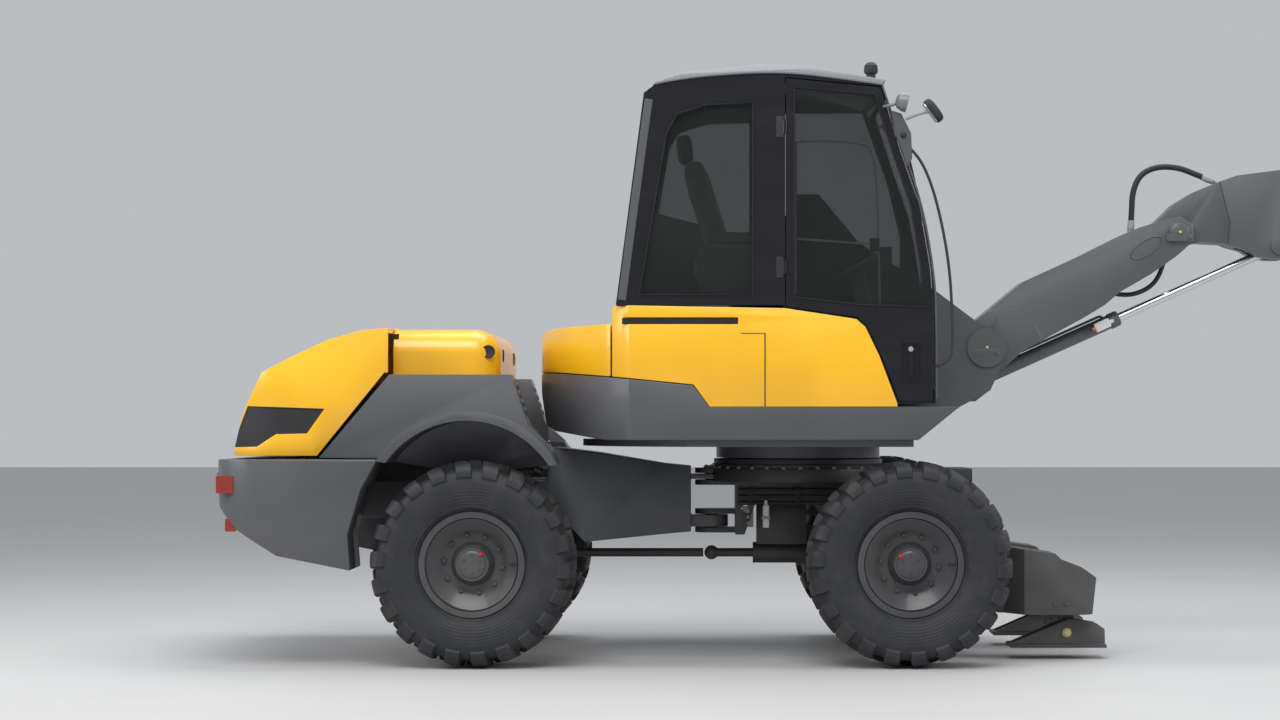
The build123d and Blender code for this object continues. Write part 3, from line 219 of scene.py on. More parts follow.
def blackGloss(name, colour=(0.007, 0.007, 0.008)):
    # enamel behind bonded glass: nearly black, smooth, with a faint smear
    material, shader, where = newFinish(name, {"Coat Roughness": 0.03, "IOR": 1.36})
    smear = where.stretched(1.0, 1.0, 4.0).noise(2.5).between(0.4, 0.75)
    feed(shader, {
        "Base Color": smear.blend(rgba(colour), rgba(colour, 1.7)),
        "Roughness": 0.12 + 0.10 * smear,
        "Coat Weight": 0.25 - 0.1 * smear,
        "Normal": where.noise(1.3, 1.0).bump(0.0004),
    })
    return material


def mouldedPlastic(name, colour, roughness=0.55, grain=0.00035):
    # leather-like grain from two sizes of cell, a little worn on the tops
    material, shader, where = newFinish(name, {"IOR": 1.46})
    cell = where.node("ShaderNodeTexVoronoi", {"feature": "F1"},
                      {"Vector": where, "Scale": 420.0})
    fine = where.noise(900.0, 1.0)
    cloud = where.noise(6.0)
    feed(shader, {
        "Base Color": cloud.between(0.3, 0.7).blend(rgba(colour, 0.85), rgba(colour, 1.15)),
        "Roughness": roughness + 0.15 * cloud,
        "Normal": (cell + 0.4 * fine).bump(grain),
    })
    return material


def barkedSteel(name, colour, bare=(0.28, 0.27, 0.26), lowEdge=0.0, highEdge=0.3):
    # painted digging steel, bright and scraped below lowEdge and painted above highEdge
    material, shader, where = newFinish(name, {"IOR": 1.5})
    height = where.axis(2)
    patch = where.noise(7.0, 5.0, 0.65)
    worn = (height + 0.16 * (0.5 - patch)).between(highEdge, lowEdge)
    scrape = where.stretched(6.0, 60.0, 6.0).noise(4.0, 3.0)
    rust = where.noise(23.0, 4.0).between(0.55, 0.75) * 0.5
    metal = rust.blend(rgba(bare), (0.13, 0.065, 0.035, 1.0))
    feed(shader, {
        "Base Color": worn.blend(rgba(colour), metal),
        "Roughness": 0.42 + 0.25 * scrape - 0.1 * worn,
        "Metallic": 0.85 * worn * (1 - rust),
        "Normal": (scrape + patch).bump(0.0012),
    })
    return material


def chromedRod(name):
    # hard chrome with the faint lines of its seals
    material, shader, where = newFinish(name, {"Metallic": 1.0, "IOR": 1.5})
    line = where.stretched(1.0, 90.0, 1.0).noise(6.0, 2.0)
    feed(shader, {
        "Base Color": line.blend((0.62, 0.63, 0.65, 1.0), (0.75, 0.76, 0.78, 1.0)),
        "Roughness": 0.10 + 0.10 * line,
        "Normal": line.bump(0.00003),
    })
    return material


def tintedGlass(name, colour, alpha):
    # tinted safety glass with a breath of dust
    material, shader, where = newFinish(name, {"IOR": 1.38, "Coat Roughness": 0.02})
    haze = where.noise(1.1, 4.0).between(0.45, 0.8)
    feed(shader, {
        "Base Color": haze.blend(rgba(colour), rgba(colour, 1.5)),
        "Roughness": 0.03 + 0.08 * haze,
        "Alpha": alpha + 0.06 * haze,
        "Normal": where.noise(1.6, 1.0).bump(0.0006),
    })
    return material


def silvered(name):
    # mirror: bright metal under a little road film
    material, shader, where = newFinish(name, {"Metallic": 1.0})
    film = where.noise(18.0, 4.0).between(0.45, 0.75)
    feed(shader, {
        "Base Color": film.blend((0.82, 0.83, 0.84, 1.0), (0.60, 0.60, 0.60, 1.0)),
        "Roughness": 0.03 + 0.10 * film,
    })
    return material


def lampLens(name, colour):
    # moulded lens with a fine prism grid
    material, shader, where = newFinish(name, {"IOR": 1.49, "Coat Weight": 0.6})
    prism = (where.axis(1) * 900.0).wave()
    ridge = (where.axis(2) * 900.0).wave()
    tone = where.noise(14.0)
    feed(shader, {
        "Base Color": tone.blend(rgba(colour, 0.8), rgba(colour, 1.1)),
        "Roughness": 0.14 + 0.08 * tone,
        "Normal": (prism + ridge).bump(0.0003),
    })
    return material


def tyreRubber(name):
    # dark rubber: fine grain, moulding rings on the wall and pale dust on the tread
    material, shader, where = newFinish(name, {"IOR": 1.45})
    x, z = where.axis(0), where.axis(2)
    halfway = (rearAxleX + frontAxleX) / 2
    front = x.between(halfway - 0.01, halfway + 0.01)
    across = x - (rearAxleX + front * (frontAxleX - rearAxleX))
    radius = (across * across + (z - axleZ) * (z - axleZ)) ** 0.5
    dirt = where.noise(9.0, 5.0, 0.6)
    tread = radius.between(0.47, 0.54)
    rings = (radius * 380.0).wave() * radius.between(0.42, 0.38)
    dust = dirt.between(0.40, 0.75) * (0.25 + 0.5 * tread)
    feed(shader, {
        "Base Color": dust.blend((0.018, 0.019, 0.022, 1.0), (0.075, 0.073, 0.070, 1.0)),
        "Roughness": 0.62 + 0.25 * dust,
        "Normal": (0.5 * rings + 0.6 * where.noise(160.0, 3.0) + dirt).bump(0.0011),
    })
    return material


def wovenCloth(name, colour):
    # seat cloth: a plain weave of ribs in two directions, with slight shading
    material, shader, where = newFinish(name, {"Sheen Weight": 0.4, "Sheen Roughness": 0.5})
    rows = (where.axis(0) + where.axis(2)) * 1500.0
    weave = (where.axis(1) * 1500.0).wave() * rows.wave()
    shade = where.noise(5.0)
    feed(shader, {
        "Base Color": (0.5 + 0.3 * weave + 0.3 * shade).blend(rgba(colour, 0.6),
                                                             rgba(colour, 1.3)),
        "Roughness": 0.85 + 0.1 * shade,
        "Normal": weave.bump(0.0005),
    })
    return material


finishes = {
    "yellow": sprayedPaint("yellowPaint", (0.90, 0.47, 0.010), 0.32, 0.4, 0.5),
    "grey": sprayedPaint("panelGrey", (0.072, 0.074, 0.082), 0.42, 0.15, 0.6),
    "boom": sprayedPaint("boomGrey", (0.084, 0.087, 0.096), 0.40, 0.15, 0.6),
    "dark": sprayedPaint("chassisDark", (0.030, 0.031, 0.034), 0.5, 0.05, 1.4),
    "rim": sprayedPaint("rimGrey", (0.040, 0.041, 0.046), 0.36, 0.25, 1.2),
    "black": blackGloss("cabBlack"),
    "roof": sprayedPaint("roofGrey", (0.27, 0.28, 0.30), 0.45, 0.1, 0.5),
    "trim": sprayedPaint("trimGrey", (0.15, 0.155, 0.165), 0.38, 0.2, 0.5),
    "plastic": mouldedPlastic("darkPlastic", (0.020, 0.020, 0.022)),
    "softGrey": mouldedPlastic("consoleGrey", (0.055, 0.057, 0.060), 0.6),
    "rubber": mouldedPlastic("sealRubber", (0.012, 0.012, 0.013), 0.7, 0.0002),
    "tyre": tyreRubber("tyreRubber"),
    "glass": tintedGlass("tintedGlass", (0.018, 0.020, 0.020), 0.46),
    "mirror": silvered("mirrorGlass"),
    "chrome": chromedRod("rodChrome"),
    "steel": barkedSteel("plainSteel", (0.30, 0.30, 0.31), (0.3, 0.3, 0.31), -1.0, -0.5),
    "bucket": barkedSteel("bucketSteel", (0.060, 0.061, 0.066), lowEdge=0.10, highEdge=0.55),
    "tail": lampLens("tailLens", (0.26, 0.020, 0.012)),
    "red": lampLens("redLens", (0.55, 0.012, 0.010)),
    "orange": lampLens("orangeLens", (0.60, 0.10, 0.008)),
    "clear": lampLens("clearLens", (0.62, 0.63, 0.65)),
    "cloth": wovenCloth("seatCloth", (0.045, 0.050, 0.050)),
    "hose": mouldedPlastic("hoseRubber", (0.014, 0.014, 0.015), 0.5, 0.0002),
    "nipple": barkedSteel("zincYellow", (0.55, 0.48, 0.22), (0.6, 0.55, 0.3), -1.0, -0.5),
    "white": mouldedPlastic("whitePlastic", (0.62, 0.62, 0.60), 0.4, 0.0001),
}

wheelNames = ("rear_right", "rear_left", "front_right", "front_left")
cylinderNames = ("lift", "positioning", "stick", "bucket")

# which finish each frame node wears
nodeFinish = {
    "yellow": ["front_hood", "engine_hood", "turret_tail", "cover_right", "cover_left"],
    "grey": ["turret_skirt", "fenders", "counterweight"],
    "boom": ["lower_boom", "upper_boom", "stick", "turret_deck", "rocker", "bucket_link",
             "rear_frame", *[f"{name}_cylinder_barrel" for name in cylinderNames]],
    "dark": ["front_frame", "slew_ring", "gearbox", "engine", "rear_axle", "front_axle",
             "knuckle_right", "knuckle_left", "tie_rod", "stabiliser_arm_right",
             "stabiliser_arm_left", "stabiliser_pad_right", "stabiliser_pad_left"],
    "rim": [f"rim_{name}" for name in wheelNames],
    "black": ["cab_shell", "cab_door"],
    "roof": ["cab_roof"],
    "trim": ["mirrors"],
    "plastic": ["hood_grilles", "console", "beacon"],
    "glass": ["cab_glass", "door_glass"],
    "chrome": [f"{name}_cylinder_rod" for name in cylinderNames],
    "bucket": ["bucket"],
    "tail": ["rear_lamps"],
    "cloth": ["seat"],
    "tyre": [f"tyre_{name}" for name in wheelNames],
}

# crisp steel: joins the loose triangles, softens edges by a few millimetres and shades them
edgeLook = {
    "merge": 0.00002,
    "flat": 1.0,            # degrees between faces that count as one face
    "sharp": 32.0,          # degrees where an edge stays an edge
    "width": {"yellow": 0.006, "grey": 0.006, "boom": 0.004, "dark": 0.003, "black": 0.004,
              "roof": 0.006, "rim": 0.0, "bucket": 0.003},
    # nodes whose faces have openings keep their cut edges
    "plain": ["cab_shell", "cab_door", "front_hood", "stick", "bucket", "turret_deck"],
}


def smoothByAngle():
    # node group: faces smooth, edges sharper than the limit stay sharp
    group = bpy.data.node_groups.new("smoothByAngle", "GeometryNodeTree")
    group.interface.new_socket("Geometry", in_out="INPUT", socket_type="NodeSocketGeometry")
    group.interface.new_socket("Geometry", in_out="OUTPUT", socket_type="NodeSocketGeometry")
    add = group.nodes.new
    start, end = add("NodeGroupInput"), add("NodeGroupOutput")
    faces, edges = add("GeometryNodeSetShadeSmooth"), add("GeometryNodeSetShadeSmooth")
    angle, steep = add("GeometryNodeInputMeshEdgeAngle"), add("FunctionNodeCompare")
    edges.domain = "EDGE"
    edges.inputs["Shade Smooth"].default_value = False
    steep.operation = "GREATER_THAN"
    steep.inputs[1].default_value = math.radians(edgeLook["sharp"])
    join = group.links.new
    join(start.outputs[0], faces.inputs["Geometry"])
    join(faces.outputs[0], edges.inputs["Geometry"])
    join(angle.outputs["Unsigned Angle"], steep.inputs[0])
    join(steep.outputs[0], edges.inputs["Selection"])
    join(edges.outputs[0], end.inputs[0])
    return group


smoothing = smoothByAngle()


def crisp(piece, width):
    weld = piece.modifiers.new("weld", "WELD")
    weld.merge_threshold = edgeLook["merge"]
    if width:
        plane = piece.modifiers.new("flatFaces", "DECIMATE")
        plane.decimate_type = "DISSOLVE"
        plane.angle_limit = math.radians(edgeLook["flat"])
        bevel = piece.modifiers.new("softEdges", "BEVEL")
        bevel.width = width
        bevel.segments = 2
        bevel.limit_method = "ANGLE"
        bevel.angle_limit = math.radians(edgeLook["sharp"])
        bevel.use_clamp_overlap = True
    shade = piece.modifiers.new("smoothByAngle", "NODES")
    shade.node_group = smoothing


for finish, names in nodeFinish.items():
    for name in names:
        piece = frame["nodes"][name]
        piece.data.materials.clear()
        piece.data.materials.append(finishes[finish])
        crisp(piece, 0.0 if name in edgeLook["plain"] else edgeLook["width"].get(finish, 0.0))

print("frame dressed")

# shapes: each is (places, quads), worked out as whole arrays


def sheet(points, closeU=False, closeV=False):
    # points[u, v] is a sheet of places; a quad joins four neighbours,
    # and a closed way joins its ends
    countU, countV = points.shape[:2]
    u, v = np.meshgrid(np.arange(countU if closeU else countU - 1),
                       np.arange(countV if closeV else countV - 1), indexing="ij")
    u, v = u.ravel(), v.ravel()
    nextU, nextV = (u + 1) % countU, (v + 1) % countV
    quads = np.stack([u * countV + v, nextU * countV + v, nextU * countV + nextV,
                      u * countV + nextV], axis=1)
    return points.reshape(-1, 3), quads


def joined(shapes):
    # several shapes as one, each one's quads counted on from the last one's places
    starts = np.cumsum([0] + [len(places) for places, _ in shapes[:-1]])
    return (np.concatenate([places for places, _ in shapes]),
            np.concatenate([quads + start for start, (_, quads) in zip(starts, shapes)]))


def copies(shape, shifts):
    # places + shift, for every shift
    places, quads = shape
    shifts = np.asarray(shifts, float)
    moved = (places[None] + shifts[:, None]).reshape(-1, 3)
    more = quads[None] + (np.arange(len(shifts)) * len(places))[:, None, None]
    return moved, more.reshape(-1, 4)


def turned(shape, centre, axis, angles):
    # each angle a carries p to p cos a + (k x p) sin a + k (k . p)(1 - cos a), about an axis k
    places, quads = shape
    axis = np.asarray(axis, float) / np.linalg.norm(axis)
    reach = places - centre
    a = np.atleast_1d(angles)[:, None, None]
    spun = (reach * np.cos(a) + np.cross(axis, reach) * np.sin(a)
            + axis * (reach @ axis)[:, None] * (1 - np.cos(a)))
    more = quads[None] + (np.arange(a.size) * len(places))[:, None, None]
    return (spun + centre).reshape(-1, 3), more.reshape(-1, 4)


def across(axis):
    # two unit vectors square to an axis
    axis = np.asarray(axis, float) / np.linalg.norm(axis)
    helper = np.array([0.0, 0.0, 1.0]) if abs(axis[2]) < 0.9 else np.array([1.0, 0.0, 0.0])
    first = np.cross(helper, axis)
    first /= np.linalg.norm(first)
    return axis, first, np.cross(axis, first)


def lathe(stations, centre, axis, count=40):
    # stations (h, r) turned about an axis k: centre + h k + r (p cos a + q sin a)
    k, p, q = across(axis)
    a = np.linspace(0, 2 * np.pi, count, endpoint=False)[None, :, None]
    h, r = np.array(stations, float).T[:, :, None, None]
    return sheet(np.asarray(centre) + h * k + r * (p * np.cos(a) + q * np.sin(a)), closeV=True)


def rod(start, end, radius, count=20, chamfer=0.12):
    # round bar with small chamfers, closed at both ends
    start, end = np.asarray(start, float), np.asarray(end, float)
    length = np.linalg.norm(end - start)
    edge = chamfer * radius
    return lathe([(0, 0), (0, radius - edge), (edge, radius), (length - edge, radius),
                  (length, radius - edge), (length, 0)], start, end - start, count)


def hexBolt(centre, axis, radius, height):
    # bolt head with six sides on a round washer
    return joined([lathe([(0, 0), (0, radius * 1.45), (height * 0.25, radius * 1.45),
                          (height * 0.25, 0)], centre, axis, 20),
                   lathe([(0, 0), (0, radius), (height * 0.9, radius), (height, radius * 0.85),
                          (height, 0)], centre, axis, 6)])


def sweep(path, ring, up=(0, 1, 0)):
    # ring (a, b) carried along a path: place + a side + b lift,
    # where side = up x way and lift = way x side are square to the way
    path = np.asarray(path, float)
    way = np.gradient(path, axis=0)
    way /= np.linalg.norm(way, axis=1, keepdims=True)
    side = np.cross(np.asarray(up, float), way)
    side /= np.linalg.norm(side, axis=1, keepdims=True)
    lift = np.cross(way, side)
    ring = np.asarray(ring, float)
    ring = np.concatenate([ring[None] * 0, np.broadcast_to(ring, (len(path), *ring.shape)),
                           ring[None] * 0])
    path, side, lift = (np.concatenate([a[:1], a, a[-1:]]) for a in (path, side, lift))
    return sheet(path[:, None] + ring[..., :1] * side[:, None] + ring[..., 1:] * lift[:, None],
                 closeV=True)


def circle(radius, count=14):
    # r (cos a, sin a)
    a = np.linspace(0, 2 * np.pi, count, endpoint=False)
    return radius * np.stack([np.cos(a), np.sin(a)], axis=1)


def softOblong(width, height, power=0.35, count=24):
    # superellipse: half sizes times cos and sin raised to a power, signs kept
    c, s = circle(1.0, count).T
    return np.stack([width / 2 * np.sign(c) * abs(c) ** power,
                     height / 2 * np.sign(s) * abs(s) ** power], axis=1)


def smoothLine(corners, count=60):
    # quadratic B-spline: (1-t)^2 m0 + 2 t (1-t) c + t^2 m1 round each corner c,
    # where m0 and m1 are the middles of its two runs
    corners = np.asarray(corners, float)
    ends = np.concatenate([corners[:1], (corners[1:-2] + corners[2:-1]) / 2, corners[-1:]])
    spot = np.linspace(0, len(corners) - 2 - 1e-9, count)
    i, t = spot.astype(int), (spot % 1)[:, None]
    return (1 - t) ** 2 * ends[i] + 2 * t * (1 - t) * corners[i + 1] + t ** 2 * ends[i + 1]


def slab(outline, yFrom, yTo, edge=0.003):
    # side outline (x, z) from one y to another; the end rings shrink towards the middle by the edge
    outline = np.asarray(outline, float)
    centre = outline.mean(axis=0)
    reach = np.linalg.norm(outline - centre, axis=1).mean()
    rows = [(yFrom, 0.0), (yFrom, 1 - edge / reach), (yFrom + edge, 1.0), (yTo - edge, 1.0),
            (yTo, 1 - edge / reach), (yTo, 0.0)]
    flat = [centre + (outline - centre) * scale for _, scale in rows]
    depth = np.array([y for y, _ in rows])[:, None] * np.ones(len(outline))
    flat = np.stack(flat)
    return sheet(np.stack([flat[..., 0], depth, flat[..., 1]], axis=-1), closeV=True)


def cushion(centre, size, flat=0.28, crown=0.55, rows=28, count=56):
    # superellipsoid: cos v to a power times a superellipse in plan, sin v to a power in height
    v = np.linspace(-np.pi / 2, np.pi / 2, rows)[:, None]
    c, s = circle(1.0, count).T
    plan = np.stack([np.sign(c) * abs(c) ** flat, np.sign(s) * abs(s) ** flat], axis=1)
    wide = np.cos(v) ** crown
    tall = np.sign(np.sin(v)) * abs(np.sin(v)) ** crown
    x, y, z = np.asarray(size) / 2
    return sheet(np.stack([centre[0] + x * wide * plan[:, 0], centre[1] + y * wide * plan[:, 1],
                           centre[2] + z * tall * np.ones(count)], axis=-1), closeV=True)


def softBlock(low, high, flat=0.12):
    # box with rounded corners between two corners
    low, high = np.asarray(low, float), np.asarray(high, float)
    return cushion((low + high) / 2, high - low, flat, flat, 20, 40)


def makePiece(name, finish, body, shapes, replaced=()):
    # one object from shapes: doubles merged, faces turned outwards, edges kept where they are sharp
    places, quads = joined(shapes)
    mesh = bpy.data.meshes.new(name)
    mesh.from_pydata(places.tolist(), [], quads.tolist())
    work = bmesh.new()
    work.from_mesh(mesh)
    bmesh.ops.remove_doubles(work, verts=work.verts, dist=0.00001)
    bmesh.ops.dissolve_degenerate(work, edges=work.edges, dist=0.000001)
    bmesh.ops.recalc_face_normals(work, faces=work.faces)
    work.to_mesh(mesh)
    work.free()
    mesh.materials.append(finishes[finish])
    piece = bpy.data.objects.new(name, mesh)
    bpy.context.scene.collection.objects.link(piece)
    piece.modifiers.new("smoothByAngle", "NODES").node_group = smoothing
    if body:
        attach(piece, body)
    if replaced:
        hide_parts(*replaced)
    return piece


xWay, yWay, zWay = np.eye(3)
outward = -yWay  # towards the cab's door side

# tyres and wheels
wheels = {name: middle(f"rim_{name}") for name in wheelNames}
tyreSize = {
    "section": [(0.168, 0.251), (0.170, 0.283), (0.196, 0.296), (0.217, 0.345), (0.225, 0.400),
                (0.221, 0.448), (0.205, 0.483), (0.165, 0.499), (0.085, 0.506), (0.0, 0.509)],
    "lugs": 22,         # on each half of the tread
    "height": 0.031,
    "inner": 0.020,     # where a lug starts beside the middle of the tread
    "foot": 0.445,      # radius where it ends on the wall
    "share": 0.50,      # of its pitch
    "slant": 1.1,       # phases per metre towards the shoulder
    "around": 528,      # points round the tyre
    "over": 84,         # points over its section
    # rings on the wall: radius, height
    "ribs": [(0.300, 0.0030), (0.338, 0.0012), (0.352, 0.0012), (0.425, 0.0025)],
}


def step(value, start, end):
    # 3 t^2 - 2 t^3 of t = how far a value is from start to end
    t = np.clip((value - start) / (end - start), 0, 1)
    return t * t * (3 - 2 * t)


def tyreShape(centre, outside):
    # the section's smooth line turned about the axle,
    # then moved along its normal by the heights of lugs and ribs
    size = tyreSize
    half = np.array(size["section"])
    corners = np.concatenate([half, (half * (-1, 1))[::-1][1:]])
    y, r = smoothLine(corners, size["over"]).T
    alongY, alongR = np.gradient(y), np.gradient(r)
    length = np.hypot(alongY, alongR)
    normalY, normalR = -alongR / length, alongY / length
    sign = np.sign(normalR[len(normalR) // 2])
    normalY, normalR = normalY * sign, normalR * sign
    a = np.linspace(0, 2 * np.pi, size["around"], endpoint=False)[:, None]
    side = np.where(y * outside > 0, 0.0, 0.5)
    phase = (size["lugs"] * (a / (2 * np.pi) - 0.25) + side + size["slant"] * abs(y)) % 1.0
    near = abs(phase - 0.5) * 2
    share = size["share"] * (0.92 + 0.25 * step(abs(y), 0.05, 0.2))
    block = step(1 - near, 1 - share - 0.035, 1 - share + 0.035)
    reach = step(abs(y), size["inner"] - 0.004, size["inner"] + 0.006)
    foot = step(r, size["foot"], size["foot"] + 0.012) * (0.45 + 0.55 * step(r, 0.455, 0.492))
    rib = sum(height * np.exp(-((r - place) / 0.0035) ** 2) * (r < 0.44)
              for place, height in size["ribs"])
    lift = size["height"] * block * reach * foot + rib
    wide = y + normalY * lift
    tall = r + normalR * lift
    points = np.stack([centre[0] + tall * np.cos(a), centre[1] + wide,
                       centre[2] + tall * np.sin(a)], axis=-1)
    return sheet(points, closeU=True, closeV=True)


wheelTrim = {
    "planeY": 0.960,      # the wheels' middle planes, from the machine's
    "nuts": 10,
    "nutCircle": 0.152,
    "nutRadius": 0.013,
    "nutOut": 0.068,      # from the wheel's middle plane
    "capOut": 0.148,
    "capBolts": 6,
    "plugRadius": 0.011,
    # x and z from the hub's middle
    "plugs": {"rear_right": (0.045, 0.055), "front_right": (-0.055, 0.045),
              "rear_left": (-0.045, 0.055), "front_left": (0.055, 0.045)},
}


def makeWheels():
    trim = wheelTrim
    for name, centre in wheels.items():
        side = 1 if centre[1] > 0 else -1
        centre = np.array([centre[0], side * trim["planeY"], centre[2]])
        way = side * yWay
        body = f"wheel_{name}"
        makePiece(f"tyre_tread_{name}", "tyre", body, [tyreShape(centre, side)],
                  [f"tyre_{name}"])
        nut = hexBolt(centre + way * trim["nutOut"] + trim["nutCircle"] * zWay, way,
                      trim["nutRadius"], 0.020)
        angles = np.arange(trim["nuts"]) * 2 * np.pi / trim["nuts"] + 0.2
        hub = centre + way * trim["capOut"]
        cap = lathe([(0, 0), (0, 0.072), (0.010, 0.070), (0.016, 0.058), (0.017, 0)], hub, way)
        bolts = turned(hexBolt(hub + 0.050 * zWay + way * 0.014, way, 0.006, 0.008), hub, way,
                       np.arange(trim["capBolts"]) * 2 * np.pi / trim["capBolts"])
        ring = lathe([(0, 0.236), (0, 0.243), (0.006, 0.246), (0.012, 0.243), (0.012, 0.236),
                      (0, 0.236)], centre + way * 0.168, way, 72)
        valve = rod(centre + way * 0.10 + xWay * 0.20, centre + way * 0.155 + xWay * 0.225, 0.006)
        makePiece(f"wheel_nuts_{name}", "rim", body,
                  [turned(nut, centre, way, angles), cap, bolts, ring, valve])
        x, z = trim["plugs"][name]
        radius = trim["plugRadius"]
        plug = lathe([(0, 0), (0, radius), (0.006, radius - 0.002), (0.007, 0)],
                     hub + way * 0.0165 + x * xWay + z * zWay, way, 20)
        makePiece(f"hub_plug_{name}", "red", body, [plug])


makeWheels()
print("tyres and wheel trim made")

# cab, outside
cabSize = {
    # x from the slew axis, and z
    "frontEdge": [(0.402, 3.030), (0.513, 2.685), (0.611, 2.406), (0.666, 2.084), (0.684, 1.875),
                  (0.684, 1.400)],
    "rearEdge": [(-0.952, 1.915), (-0.912, 2.230), (-0.812, 2.960)],
    "slidingPane": [(-0.046, 2.735), (0.005, 2.752), (0.300, 2.735), (0.352, 2.700),
                    (0.372, 2.560), (0.386, 2.230), (0.392, 1.840)],
    "rearWindow": [(-0.862, 1.943), (-0.272, 1.943), (-0.272, 2.939), (-0.509, 2.932),
                   (-0.664, 2.883), (-0.720, 2.785), (-0.862, 1.943)],
    "doorWindow": [(-0.054, 1.930), (-0.054, 3.020), (0.360, 2.984), (0.455, 2.685),
                   (0.550, 2.406), (0.604, 2.084), (0.620, 1.880), (0.300, 1.890),
                   (-0.054, 1.930)],
    "gutter": [(-0.780, 3.040), (-0.648, 3.072), (-0.229, 3.104), (0.050, 3.090),
               (0.400, 3.038)],
    "lining": [(-0.950, 1.93), (-0.900, 2.465), (-0.690, 2.410), (-0.380, 2.330),
               (-0.200, 2.330), (-0.200, 1.93)],
    "paneIn": 0.040,       # the sliding pane's frame, behind the door's outer face
}


def onCab(x, z, out=0.0):
    # a place on the door side, from the slew axis, pushed out of the side plane
    return np.array([slewX + x, cabRight - out, z])


def inCab(x, y, z):
    # a place from the slew axis and the cab's middle plane
    return np.array([slewX + x, cabMiddle + y, z])


def cabPath(points, out=0.0):
    return np.array([onCab(x, z, out) for x, z in points])


def makeCabTrim():
    size = cabSize
    edge = softOblong(0.010, 0.034)
    pillars = [sweep(smoothLine(cabPath(size["frontEdge"], out), 60), edge)
               for out in (0.003, -cabWidth - 0.003)]
    makePiece("windscreen_pillars", "grey", "turret", pillars)
    corner = sweep(smoothLine(cabPath(size["rearEdge"], 0.002), 40), softOblong(0.042, 0.006))
    makePiece("rear_corner_strip", "grey", "turret", [corner])
    # rubber between pane and body: round the rear window, and round the door's
    seal = sweep(cabPath(size["rearWindow"], 0.001), softOblong(0.006, 0.020))
    makePiece("rear_window_seal", "rubber", "turret", [seal])
    seal = sweep(cabPath(size["doorWindow"], 0.001), softOblong(0.006, 0.018))
    makePiece("door_window_seal", "rubber", "cab_door", [seal])
    # sliding pane in the door: its light frame, a bar across it and a latch
    inside = -size["paneIn"]
    lines = [smoothLine(cabPath(size["slidingPane"], inside), 70),
             cabPath([(-0.046, 2.735), (-0.046, 1.945)], inside),
             cabPath([(-0.040, 2.235), (0.384, 2.205)], inside)]
    section = softOblong(0.012, 0.012, 0.6, 12)
    makePiece("sliding_pane_frame", "roof", "cab_door",
              [sweep(line, section) for line in lines])
    latch = softBlock(onCab(0.340, 2.170, -0.030), onCab(0.390, 2.240, -0.056))
    makePiece("sliding_pane_latch", "plastic", "cab_door", [latch])
    # gutter along the roof's edge
    gutter = smoothLine(cabPath(size["gutter"], 0.004), 50)
    makePiece("roof_gutter", "trim", "turret", [sweep(gutter, softOblong(0.014, 0.022))])
    # dark lining low on the far wall, seen through the rear window
    outline = np.array(size["lining"]) + (slewX, 0)
    makePiece("cab_lining", "plastic", "turret",
              [slab(outline, cabLeft - 0.062, cabLeft - 0.050)])
    # leaves of the door's hinges, and its lock
    leaves = [softBlock(onCab(-0.150, z - 0.02, 0.010), onCab(-0.112, z + 0.09, 0.0))
              for z in (2.050, 2.780)]
    makePiece("door_hinge_leaves", "plastic", "turret", leaves)
    lock = lathe([(0, 0), (0, 0.014), (0.006, 0.013), (0.007, 0)], onCab(0.551, 1.660, -0.004),
                 outward, 24)
    makePiece("door_lock", "steel", "cab_door", [lock])


mirrorSize = {
    "rail": [(0.470, 2.760), (0.560, 2.700), (0.640, 2.569), (0.704, 2.347), (0.751, 2.080),
             (0.765, 1.820), (0.768, 1.654), (0.740, 1.590), (0.690, 1.574)],
    "railRadius": 0.0075,
    "bracket": [(0.445, 2.900), (0.500, 2.880), (0.550, 2.780), (0.556, 2.650), (0.530, 2.600),
                (0.505, 2.680), (0.462, 2.800)],
    "arm": [(0.520, 2.850), (0.590, 2.880), (0.640, 2.885), (0.668, 2.895)],
    "head": (0.660, 2.890),
    "headOut": 0.085,
    "headTurn": -0.65,    # radians about y
}


def makeMirrors():
    size = mirrorSize
    rail = sweep(smoothLine(cabPath(size["rail"], 0.020), 90), circle(size["railRadius"], 10))
    foot = rod(onCab(0.690, 1.574, 0.024), onCab(0.690, 1.574, -0.004), 0.012)
    makePiece("mirror_rail", "plastic", "turret", [rail, foot], ["mirrors"])
    outline = np.array(size["bracket"]) + (slewX, 0)
    plate = slab(outline, cabRight - 0.034, cabRight - 0.004, 0.006)
    makePiece("mirror_bracket", "grey", "turret", [plate])
    knob = lathe([(0, 0), (0, 0.016), (0.014, 0.013), (0.018, 0.006), (0.018, 0)],
                 onCab(0.508, 2.770, 0.034), outward, 24)
    makePiece("mirror_knob", "plastic", "turret", [knob])
    path = cabPath(size["arm"], 0.045) + np.linspace(0, -0.050, 4)[:, None] * yWay
    makePiece("mirror_arm", "roof", "turret", [sweep(smoothLine(path, 30), circle(0.009, 12))])
    x, z = size["head"]
    centre = onCab(x, z, size["headOut"])
    head = turned(cushion(centre, (0.050, 0.130, 0.135), 0.5, 0.6, 20, 36), centre, yWay,
                  [size["headTurn"]])
    makePiece("mirror_head", "plastic", "turret", [head])
    pane = turned(cushion(centre - 0.024 * xWay, (0.006, 0.112, 0.116), 0.4, 0.3, 12, 36), centre,
                  yWay, [size["headTurn"]])
    makePiece("mirror_glass", "mirror", "turret", [pane])


lampSize = {"place": (0.470, 2.950), "out": 0.055, "radius": 0.052, "depth": 0.062,
            "aim": np.array([1.0, 0.0, -0.25])}


